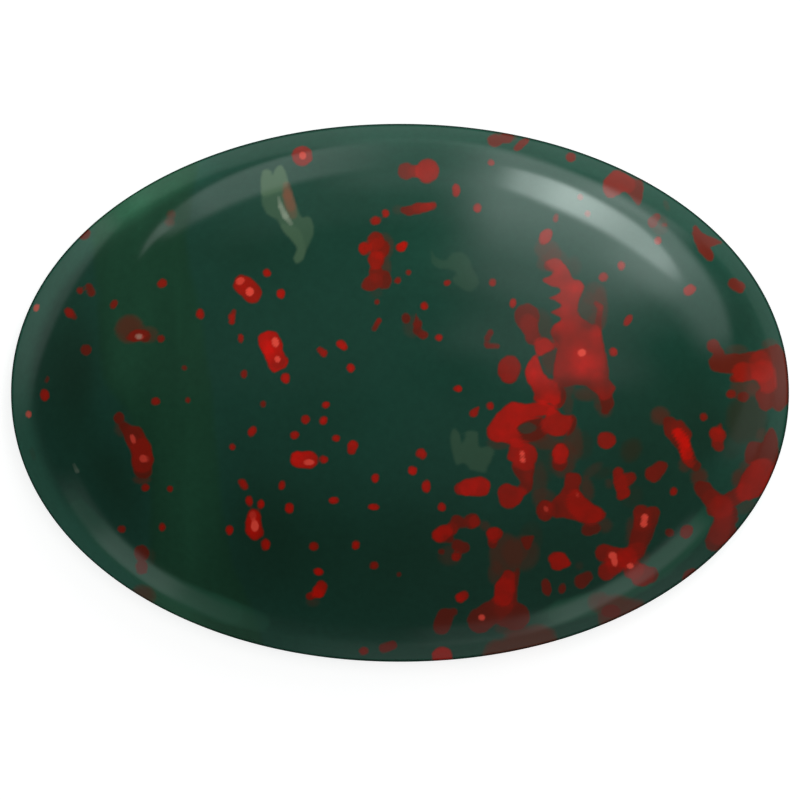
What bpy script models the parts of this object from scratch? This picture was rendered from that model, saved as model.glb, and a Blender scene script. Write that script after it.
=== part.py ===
"""A free-size oval cabochon of bloodstone, one solid piece of stone.

A low polished dome stands on a narrow upright girdle. Under the girdle a fine bevel leads to a flat lapped
base, on which the stone lies. Units are metres and +Z is up. The origin is the middle of the base, and the
long side of the oval lies along X.
"""

import math

import bmesh
import bpy

NAME = "bloodstone"

LENGTH = 0.0389
WIDTH = 0.0269
HEIGHT = 0.0075
OUTLINE_POWER = 2.05  # power of the oval: 2 is a true ellipse, and more is squarer
BASE_BEVEL = 0.0004  # 45 degree cut round the underside
GIRDLE_TOP = 0.0013  # height at which the upright girdle ends and the dome starts

SHOULDER_POWER = 2.6  # fall of the dome from its crown to its shoulder, across the short side
SHOULDER_ROUND = 0.6  # power of the rounding that turns the shoulder down to the girdle
LIP = 0.94  # under 1, the dome meets the girdle at a slope of about 62 degrees and not upright
CROWN_SHARE = 0.3  # share of the rise that is a plain paraboloid, so that the top isn't level

SIDES = 96  # points round the oval
DOME_RINGS = 22
RING_CROWDING = 1.6  # over 1, the dome's rings stand closer together towards the rim

STONE_GREEN = (0.013, 0.046, 0.032, 1.0)  # linear values of the dark green ground colour
STONE_ROUGHNESS = 0.12
SHARP_EDGE = math.radians(35)


def signed_power(value, power):
    return math.copysign(abs(value) ** power, value)


def outline_point(turn):
    """The point of the oval at this turn round it: a superellipse."""
    x = LENGTH / 2 * signed_power(math.cos(turn), 2 / OUTLINE_POWER)
    y = WIDTH / 2 * signed_power(math.sin(turn), 2 / OUTLINE_POWER)
    return x, y


def outline_facing(x, y):
    """At a point of the oval, the direction that faces out, and the reach: one over the rate at which the
    oval's own radius, 0 at the middle and 1 at the rim, grows in that direction."""
    rate_x = signed_power(x / (LENGTH / 2), OUTLINE_POWER - 1) / (LENGTH / 2)
    rate_y = signed_power(y / (WIDTH / 2), OUTLINE_POWER - 1) / (WIDTH / 2)
    rate = math.hypot(rate_x, rate_y)
    return rate_x / rate, rate_y / rate, 1 / rate


def dome_height(radius, reach):
    """The height above the base at this share of the way from the middle to the rim.

    The shoulder is one minus a power of the radius, to a power under 1, which rounds it over. Its first power
    grows with the reach, so the shoulder has the same width all round the oval. A paraboloid is mixed in.
    """
    fall = SHOULDER_POWER * reach / (WIDTH / 2)
    rim = (1 - LIP) ** SHOULDER_ROUND
    shoulder = ((1 - LIP * radius**fall) ** SHOULDER_ROUND - rim) / (1 - rim)
    crown = 1 - radius**2
    share = (1 - CROWN_SHARE) * shoulder + CROWN_SHARE * crown
    return GIRDLE_TOP + (HEIGHT - GIRDLE_TOP) * share


def stone_point(ring, turn):
    """The stone's surface from its apex, ring 0, over the dome and down to the middle of its base."""
    x, y = outline_point(turn)
    facing_x, facing_y, reach = outline_facing(x, y)
    if ring <= DOME_RINGS:
        radius = 1 - (1 - ring / DOME_RINGS) ** RING_CROWDING
        return x * radius, y * radius, dome_height(radius, reach)
    if ring == DOME_RINGS + 1:
        return x, y, BASE_BEVEL
    if ring == DOME_RINGS + 2:
        return x - BASE_BEVEL * facing_x, y - BASE_BEVEL * facing_y, 0.0
    return 0.0, 0.0, 0.0


def polished_stone():
    material = bpy.data.materials.new("Bloodstone_Polished")
    material.use_nodes = True
    shader = material.node_tree.nodes["Principled BSDF"]
    shader.inputs["Base Color"].default_value = STONE_GREEN
    shader.inputs["Roughness"].default_value = STONE_ROUGHNESS
    shader.inputs["Metallic"].default_value = 0.0
    return material


def make_stone(collection):
    """A sphere whose rings are laid over the dome, down the girdle and bevel, and in to the base's middle."""
    bands = DOME_RINGS + 3
    shape = bmesh.new()
    bmesh.ops.create_uvsphere(shape, u_segments=SIDES, v_segments=bands, radius=1.0)
    for vertex in shape.verts:
        ring = round(math.acos(max(-1.0, min(1.0, vertex.co.z))) / math.pi * bands)
        turn = math.atan2(vertex.co.y, vertex.co.x)
        vertex.co = stone_point(ring, turn)
    mesh = bpy.data.meshes.new(NAME)
    shape.to_mesh(mesh)
    shape.free()
    mesh.shade_smooth()
    mesh.set_sharp_from_angle(angle=SHARP_EDGE)
    mesh.materials.append(polished_stone())
    stone = bpy.data.objects.new(NAME, mesh)
    collection.objects.link(stone)
    return stone


def main():
    for old in list(bpy.data.objects):
        bpy.data.objects.remove(old)
    collection = bpy.data.collections.new("Bloodstone cabochon")
    bpy.context.scene.collection.children.link(collection)
    make_stone(collection)


main()
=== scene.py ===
"""A polished oval bloodstone, dressed for the camera as a Blender add-on that is run as a script.

Units are metres and +Z is up. The origin is the middle of the flat base, and the long side lies along X.
The markings are written in millimetres from the middle of the stone, as seen from straight above.
"""

import math

import bpy
import numpy as np
from bpy.props import FloatProperty, FloatVectorProperty, IntProperty, PointerProperty
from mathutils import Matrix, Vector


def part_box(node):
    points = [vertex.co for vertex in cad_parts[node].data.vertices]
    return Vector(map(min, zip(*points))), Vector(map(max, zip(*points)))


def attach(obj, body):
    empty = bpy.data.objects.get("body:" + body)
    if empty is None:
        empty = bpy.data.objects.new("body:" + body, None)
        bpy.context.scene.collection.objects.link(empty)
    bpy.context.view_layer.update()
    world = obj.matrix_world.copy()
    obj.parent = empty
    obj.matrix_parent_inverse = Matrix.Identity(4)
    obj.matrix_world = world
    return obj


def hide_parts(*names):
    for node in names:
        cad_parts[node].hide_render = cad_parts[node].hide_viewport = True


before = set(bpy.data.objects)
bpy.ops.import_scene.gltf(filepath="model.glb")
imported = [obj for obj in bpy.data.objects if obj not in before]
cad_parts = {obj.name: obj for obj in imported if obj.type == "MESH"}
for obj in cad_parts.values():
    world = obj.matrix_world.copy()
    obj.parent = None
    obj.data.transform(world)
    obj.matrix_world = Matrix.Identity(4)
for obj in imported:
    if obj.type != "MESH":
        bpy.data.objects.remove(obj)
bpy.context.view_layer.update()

bl_info = {
    "name": "Bloodstone Cabochon",
    "version": (1, 0, 0),
    "blender": (4, 5, 0),
    "location": "3D View > Sidebar > Bloodstone",
    "description": "Builds a polished oval bloodstone with its red spots, and a plain studio round it",
    "category": "Add Mesh",
}

NODE = "bloodstone"
MM = 0.001

LOW, HIGH = (np.array(corner, dtype=float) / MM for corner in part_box(NODE))
HALF_LENGTH, HALF_WIDTH = (HIGH[:2] - LOW[:2]) / 2
STONE_HEIGHT = HIGH[2] - LOW[2]

# Markings. An oval is its middle (x, y), its half axes along X and Y, its lean in degrees, and its cover: how
# much of what lies under it it hides, from 0 to 1. A streak is a chain of round dabs (x, y, radius, cover). A
# patch is its cover and a closed curve through its points (x, y). Where marks overlap, their covers build up.

# Red. A cover of 0 is red that lies under a thin skin of green, and 1 is red at the surface.
RED_SPOTS = (
    # left third
    (-15.78, 7.94, 0.34, 0.3, 0, 0),
    (-15.96, 5.11, 0.18, 0.2, 0, 0.1),
    (-11.86, 5.44, 0.26, 0.24, 30, 0.26),
    (-14.26, 4.42, 0.18, 0.24, -30, 0.12),
    (-11.89, 2.7, 0.2, 0.2, 0, 0.12),
    (-15.66, 2.14, 0.27, 0.27, 0, 0.02),
    (-17.74, -0.11, 0.24, 0.31, 0, 0.36),
    (-17.62, 0.64, 0.11, 0.18, -20, 0),
    (-12.18, -0.44, 0.24, 0.21, 0, 0.2),
    (-10.73, 1.24, 0.14, 0.14, 0, 0.05),
    (-10.56, -0.36, 0.14, 0.15, 0, 0.15),
    (-14, -1.26, 0.26, 0.3, 0, 0.02),
    (-12.7, -4.71, 0.22, 0.21, 0, 0.22),
    (-11.45, -4.79, 0.15, 0.16, 0, 0.25),
    (-13.88, -6.81, 0.21, 0.21, 0, 0.18),
    (-11.85, -6.71, 0.18, 0.23, -10, 0.38),
    (-12.91, -8.01, 0.4, 0.4, 0, 0),
    (-12.9, -8.71, 0.33, 0.36, 0, 0),
    # the blotch with a pale core, which is a painted glint
    (-13.12, 2.86, 0.52, 0.28, 14, 0.14),
    (-12.75, 2.84, 0.34, 0.31, 0, 0),
    # between the left third and the middle
    (-4.88, 11.82, 0.52, 0.52, 0, 0.16),
    (-6.62, 5.97, 0.2, 0.22, 0, 0.5),
    (-9.95, 3.92, 0.23, 0.26, 0, 0.38),
    (-7.93, 2.69, 0.17, 0.23, 0, 0.36),
    (-7.75, 0.94, 0.17, 0.22, -12, 0.24),
    (-6.82, -0.56, 0.17, 0.17, 0, 0.2),
    (-5.94, 4.93, 0.23, 0.27, 0, 0.56),
    (-5.7, 0.73, 0.24, 0.28, 18, 0.52),
    (-4.7, -1.33, 0.23, 0.24, 0, 0.35),
    (-3.83, -1.38, 0.22, 0.23, 0, 0.62),
    (-3.68, -0.62, 0.21, 0.18, 30, 0.46),
    (-5.24, -2.12, 0.22, 0.21, 0, 0.52),
    (-3.19, -2.27, 0.22, 0.18, 0, 0.46),
    (-8.33, -2.68, 0.17, 0.17, 0, 0.36),
    (-3.79, -3.32, 0.2, 0.21, 0, 0.46),
    (-7.35, -1.93, 0.21, 0.28, -22, 0.48),
    (-5.87, -4.61, 0.18, 0.23, -15, 0.38),
    (-7.5, -5.41, 0.2, 0.28, 8, 0.46),
    (-6.94, -5.55, 0.19, 0.23, 0, 0.52),
    (-5.51, -5.74, 0.23, 0.27, 0, 0.56),
    (-8.49, -6.86, 0.2, 0.25, 0, 0.52),
    (-6.7, -7.56, 0.25, 0.31, 0, 0.54),
    (-4.29, -7.65, 0.25, 0.22, 0, 0.3),
    (-4.08, -8.92, 0.25, 0.22, -20, 0.62),
    (-4.45, -10.15, 0.24, 0.21, 20, 0.18),
    (-7.27, -6.56, 0.32, 0.58, 5, 0.15),
    # top of the middle
    (1.38, 11.07, 0.58, 0.62, 0, 0.22),
    (0.28, 11.06, 0.4, 0.44, 0, 0.02),
    (2.8, 10.1, 0.22, 0.34, 0, 0.24),
    (3.86, 9.22, 0.24, 0.23, 0, 0.25),
    (-1.22, 8.57, 0.27, 0.22, 0, 0.32),
    (-0.71, 8.96, 0.18, 0.22, 12, 0.3),
    (-1.22, 7.6, 0.42, 0.42, 0, 0.16),
    (-1, 7.18, 0.5, 0.5, 0, 0.12),
    (-1.78, 7.2, 0.28, 0.33, 0, 0.36),
    (-1.2, 6.6, 0.4, 0.4, 0, 0.26),
    (-1.4, 5.47, 0.52, 0.38, 25, 0.1),
    (-0.84, 5.62, 0.42, 0.48, 0, 0.03),
    (-1.2, 6, 0.34, 0.43, 0, 0.08),
    (0.41, 5.99, 0.15, 0.15, 0, 0.3),
    (-0.1, 5.61, 0.18, 0.19, 0, 0.25),
    (-1.14, 4.52, 0.13, 0.14, 0, 0.18),
    (2.35, 5.46, 0.18, 0.16, 35, 0.24),
    (1.22, 4.33, 0.2, 0.21, 0, 0.4),
    (1.92, 2.74, 0.2, 0.2, 0, 0.42),
    (4.6, 5.5, 0.19, 0.2, 0, 0.3),
    (5.62, 4.48, 0.17, 0.25, -8, 0.32),
    (0.3, 3.7, 0.22, 0.26, 0, 0),
    (1.2, 2.88, 0.2, 0.19, 0, 0.05),
    (-2.93, 2.43, 0.25, 0.22, -20, 0.58),
    (-2.78, 2.27, 0.19, 0.18, 0, 0.35),
    (-2.45, 1.24, 0.23, 0.25, 0, 0.58),
    (2.87, 0.2, 0.23, 0.19, 0, 0.54),
    (4.48, -0.65, 0.21, 0.22, 0, 0.4),
    # bottom of the middle
    (-1.23, -4.25, 0.19, 0.25, -12, 0.5),
    (0.62, -3.86, 0.24, 0.24, 0, 0.62),
    (1.3, -4.65, 0.24, 0.33, 0, 0.54),
    (-3.29, -5.36, 0.25, 0.2, 8, 0.55),
    (-1.33, -5.68, 0.3, 0.17, 0, 0.52),
    (2.09, -5.69, 0.23, 0.22, 0, 0.45),
    (-2.2, -7.57, 0.21, 0.24, -20, 0.5),
    (-1.3, -8.6, 0.24, 0.22, 0, 0.2),
    (-0.05, -9.06, 0.13, 0.12, 0, 0),
    (3.6, -6.4, 0.42, 0.38, 0, 0.05),
    (3.72, -6.42, 0.25, 0.25, 0, 0.2),
    (4.7, -7.04, 0.41, 0.37, 0, 0.28),
    (4.62, -6.98, 0.26, 0.26, 0, 0.22),
    (4.62, -7.45, 0.27, 0.31, 0, 0.05),
    (2.88, -7.6, 0.32, 0.32, 0, 0.04),
    (3.18, -7.7, 0.27, 0.28, 0, 0),
    (2.8, -8.16, 0.25, 0.24, 0, 0.24),
    (2.06, -7.92, 0.16, 0.16, 0, 0),
    (2.63, -10.93, 0.22, 0.19, 0, 0),
    (2.1, -13.18, 0.52, 0.5, 0, 0.36),
    (-1.81, -12.91, 0.25, 0.22, 15, 0.14),
    (7.3, -9.71, 0.25, 0.46, 10, 0.05),
    (8.08, -9.78, 0.19, 0.27, -18, 0.02),
    # top right
    (4.75, 12.62, 0.4, 0.33, 5, 0),
    (5.3, 12.74, 0.38, 0.28, 0, 0),
    (6.05, 12.4, 0.48, 0.2, 40, 0.03),
    (8.54, 11.77, 0.26, 0.24, 0, 0.05),
    (4.55, 11.51, 0.17, 0.18, 20, 0.14),
    (9, 9.76, 0.16, 0.16, 0, 0.1),
    (9.38, 8.92, 0.17, 0.17, 0, 0.1),
    (7.76, 8.71, 0.15, 0.21, -15, 0.12),
    (7.25, 7.78, 0.46, 0.3, 58, 0.25),
    (7.44, 6.3, 0.26, 0.28, 0, 0),
    (11.03, 6.33, 0.2, 0.26, 0, 0.28),
    (10.14, 5.76, 0.25, 0.23, -20, 0.24),
    (10.62, 2.03, 0.22, 0.23, 0, 0.4),
    (12.6, 8.5, 0.26, 0.28, 0, 0),
    (12.8, 8.78, 0.22, 0.18, 0, 0),
    (13.2, 8.38, 0.16, 0.13, 0, 0.1),
    (12.86, 7.6, 0.2, 0.22, 0, 0.3),
    (14.43, 5.12, 0.35, 0.27, 38, 0.22),
    (11.36, 3.61, 0.18, 0.31, -32, 0.24),
    # round the large splash
    (5.43, 1.2, 0.58, 0.66, -10, 0.22),
    (5.42, 0.7, 0.37, 0.25, 0, 0.05),
    (6.32, 3.78, 0.62, 0.66, 0, 0.02),
    (6.45, 3.25, 0.42, 0.62, 14, 0.12),
    (6.62, 2.74, 0.42, 0.36, 0, 0.02),
    (7.98, -2.98, 0.42, 0.5, 0, 0.46),
    (7.96, -3.48, 0.4, 0.42, 0, 0.05),
    (10.28, -2.36, 0.47, 0.44, 0, 0.25),
    (13.63, -4.91, 0.21, 0.21, 0, 0.26),
    (15.15, -1.19, 0.2, 0.21, 0, 0.14),
    (16.52, -0.06, 0.25, 0.23, 0, 0.12),
    (17.15, -0.2, 0.32, 0.26, 0, 0),
    (16.66, 0.7, 0.22, 0.2, 0, 0),
    # lower right
    (7.24, -5.86, 0.46, 0.53, 0, 0.12),
    (7.25, -5.7, 0.3, 0.32, 0, 0.08),
    (14.3, -6.92, 0.3, 0.39, -30, 0.08),
    (13.45, -6.98, 0.22, 0.21, 0, 0),
    (14.6, -9.26, 0.5, 0.5, 0, 0),
    (12.54, -9.1, 0.36, 0.4, 0, 0),
    (12.05, -9.1, 0.58, 0.58, 0, 0.12),
    (11.62, -8.8, 0.5, 0.5, 0, 0.14),
    (10.56, -10.92, 0.48, 0.34, 0, 0),
)

RED_STREAKS = (
    ((-16.62, 4.1, 0.17, 0.22), (-16.48, 3.98, 0.22, 0.26), (-16.26, 3.78, 0.15, 0.05)),
    ((-15.52, 5.28, 0.18, 0), (-15.4, 5.02, 0.22, 0.02)),
    # the long red at the left
    (
        (-13.8, -1.66, 0.22, 0), (-13.24, -2.14, 0.48, 0.08), (-12.88, -2.86, 0.51, 0.24),
        (-12.84, -3.36, 0.56, 0.2), (-12.8, -3.84, 0.45, 0),
    ),
    ((-8.28, 4.02, 0.15, 0.18), (-8.38, 3.76, 0.17, 0.46), (-8.37, 3.54, 0.17, 0.34)),
    ((-3.97, 2.13, 0.17, 0.38), (-3.8, 1.98, 0.2, 0.38)),
    ((-5.06, -3.31, 0.42, 0.78), (-4.5, -3.34, 0.44, 0.6)),
    ((-7.9, -4.43, 0.2, 0.46), (-7.73, -4.68, 0.2, 0.44)),
    ((-2.35, -2.64, 0.27, 0.5), (-2.42, -2.88, 0.21, 0.42)),
    ((-3.92, -9.66, 0.31, 0.4), (-4.06, -9.9, 0.32, 0.62)),
    ((-0.84, -12.77, 0.24, 0.05), (-0.38, -12.62, 0.24, 0.05)),
    ((0.28, 11.06, 0.28, 0.02), (0.8, 11.05, 0.28, 0.1), (1.38, 11.09, 0.3, 0.05)),
    ((0.17, 9.09, 0.16, 0), (0.42, 9.05, 0.22, 0.03), (0.9, 9.2, 0.26, 0.12), (1.3, 9.26, 0.22, 0.12)),
    ((1.25, 9.2, 0.2, 0.1), (1.62, 9.32, 0.22, 0.26)),
    ((0.1, 7.25, 0.22, 0.1), (0.26, 7.4, 0.15, 0.1)),
    ((0.8, 3.9, 0.05, 0), (0.84, 3.66, 0.1, 0.08), (0.8, 3.42, 0.16, 0.1)),
    ((0.95, 3.5, 0.14, 0), (0.86, 3.1, 0.22, 0), (1.15, 2.84, 0.2, 0.03)),
    ((-1.3, 3.18, 0.13, 0.05), (-1.02, 3.6, 0.13, 0.22)),
    ((3.65, -1.01, 0.22, 0.38), (3.93, -0.73, 0.06, 0.3)),
    ((1.02, -3.01, 0.25, 0.42), (1.12, -3.1, 0.23, 0.42)),
    ((3, -4.78, 0.31, 0.28), (3.4, -4.7, 0.43, 0.58), (4, -4.67, 0.51, 0.48)),
    ((3, -10.23, 0.26, 0.55), (3.2, -10.08, 0.22, 0.35)),
    ((1.93, -7.11, 0.35, 0.44), (2.2, -6.91, 0.34, 0.38)),
    ((2.1, -7.22, 0.28, 0.02), (2.46, -7.28, 0.2, 0)),
    (
        (2.15, -6.92, 0.32, 0.14), (2.56, -6.8, 0.3, 0.16), (2.8, -6.36, 0.26, 0.06),
        (3.1, -6.52, 0.24, 0.04),
    ),
    ((2.25, -11.16, 0.42, 0), (2.07, -11.66, 0.42, 0)),
    # lower middle: the bright core, its dull hull and its two feet
    ((5.4, -9.1, 0.28, 0.3), (5.2, -9.72, 0.47, 0.42), (5.12, -10.14, 0.44, 0.38)),
    ((5.85, -8.86, 0.15, 0), (5.6, -9.4, 0.28, 0.05), (5.42, -10.26, 0.42, 0.06)),
    ((5.1, -10.56, 0.5, 0.1), (4.4, -11.06, 0.58, 0.02), (4, -11.36, 0.64, 0)),
    ((5.3, -10.66, 0.55, 0.05), (5.75, -11.16, 0.72, 0)),
    ((5.2, -11, 0.45, 0), (5.15, -11.3, 0.38, 0)),
    ((9.04, -9.4, 0.36, 0.02), (9.36, -9.16, 0.28, 0)),
    # hook and bar left of the splash
    ((4.5, 3.02, 0.15, 0.06), (4.34, 2.7, 0.14, 0), (4.3, 2.42, 0.12, 0)),
    ((4.36, 2.34, 0.13, 0.05), (4.82, 2.32, 0.14, 0.12)),
    ((9.78, 4.44, 0.15, 0.14), (9.98, 4.26, 0.17, 0.14), (9.96, 4, 0.16, 0.05)),
    # three joined spots at the right of the splash
    (
        (10.86, -3.96, 0.27, 0.24), (10.95, -4.46, 0.32, 0.24), (11.12, -4.96, 0.33, 0.28),
        (10.96, -5.18, 0.2, 0.2),
    ),
    ((11.1, -4.5, 0.26, 0.1), (11.52, -4.22, 0.27, 0.16)),
    ((12.62, -4.06, 0.42, 0.12), (12.95, -3.73, 0.33, 0.1), (13.23, -3.6, 0.13, 0)),
    # the hooked splash at the lower right
    ((12, -5.98, 0.4, 0.12), (12.08, -6.45, 0.42, 0.18), (11.94, -7.02, 0.4, 0.08), (11.8, -7.6, 0.4, 0.1)),
    ((12.64, -6.02, 0.35, 0.08), (12.56, -6.4, 0.28, 0.04), (12.36, -7.1, 0.24, 0), (12.1, -7.7, 0.22, 0)),
    (
        (11.85, -7.9, 0.38, 0.12), (11.3, -8.2, 0.48, 0.34), (10.75, -8.16, 0.44, 0.26),
        (10.18, -8, 0.47, 0.14),
    ),
    ((10.32, -8.91, 0.46, 0.2), (10.75, -8.6, 0.42, 0.3), (11.1, -8.3, 0.4, 0.2)),
    ((9.34, -6.82, 0.32, 0), (9.7, -6.76, 0.3, 0)),
    # the winding strand at the right
    ((13.42, -1.5, 0.34, 0.02), (13.62, -1.86, 0.46, 0.06), (13.98, -2.34, 0.46, 0.1)),
    ((13.9, -1.72, 0.38, 0.06), (14.2, -2.1, 0.34, 0.08)),
    (
        (13.84, -1.98, 0.18, 0.66), (14.16, -2.46, 0.23, 0.8), (14.3, -3.06, 0.24, 0.66),
        (14.42, -3.5, 0.2, 0.2),
    ),
    ((14.14, -2.6, 0.37, 0.08), (14.38, -3.3, 0.34, 0.05), (14.76, -3.66, 0.26, 0)),
    (
        (14.9, -4.66, 0.26, 0), (15.16, -4.86, 0.42, 0.04), (15.56, -5.3, 0.44, 0.1), (16, -5.7, 0.55, 0.2),
        (16.15, -6.3, 0.44, 0.14), (15.92, -7.04, 0.5, 0.12), (15.7, -7.46, 0.46, 0),
    ),
    ((16.1, -5.8, 0.42, 0.06), (16.25, -6.5, 0.42, 0.06), (16.45, -7.1, 0.45, 0.02)),
    (
        (15.6, -5.86, 0.32, 0), (16.2, -5.66, 0.44, 0.06), (16.65, -5.26, 0.38, 0.08),
        (17.15, -4.96, 0.4, 0.1),
    ),
    ((16.6, -5.9, 0.26, 0), (16.7, -6.3, 0.22, 0)),
    # right leg of the splash, which hangs from its body
    ((9.9, 0.6, 0.36, 0.08), (10.2, 0, 0.35, 0.04), (10.3, -0.5, 0.33, 0), (10.22, -0.86, 0.22, 0)),
    # a prong and a column at the splash's right, joined to its body
    ((9.92, 4, 0.12, 0.02), (9.88, 3.5, 0.16, 0.02), (9.8, 3.1, 0.24, 0.1)),
    # the irregular spot above it
    (
        (15.74, -2.04, 0.36, 0.26), (15.96, -2.12, 0.3, 0.26), (15.8, -2.5, 0.28, 0.12),
        (15.9, -2.68, 0.25, 0.1),
    ),
    ((15.92, -1.84, 0.16, 0.1), (15.98, -1.6, 0.1, 0)),
    ((16.62, 5.44, 0.28, 0.02), (16.95, 5.27, 0.3, 0.04)),
    # the right end
    ((15.62, 2.34, 0.34, 0.03), (15.92, 2, 0.24, 0), (15.85, 1.6, 0.44, 0)),
    ((15.9, 1.46, 0.46, 0), (16.6, 1.46, 0.48, 0), (17.3, 1.5, 0.47, 0), (18.2, 1.72, 0.48, 0.02)),
    ((17.1, 0.99, 0.48, 0.26), (17.65, 1, 0.36, 0.14), (18.15, 1.1, 0.5, 0.1)),
    ((17.98, 1.6, 0.44, 0.16), (18.12, 1, 0.52, 0.26), (18.35, 0.46, 0.42, 0.24)),
    ((18.75, 2, 0.42, 0), (19.1, 1.1, 0.6, 0), (19.1, 0.1, 0.65, 0), (18.9, -0.56, 0.36, 0)),
    ((18.15, -0.16, 0.42, 0.04), (18.26, -0.56, 0.34, 0.02)),
)

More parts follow.
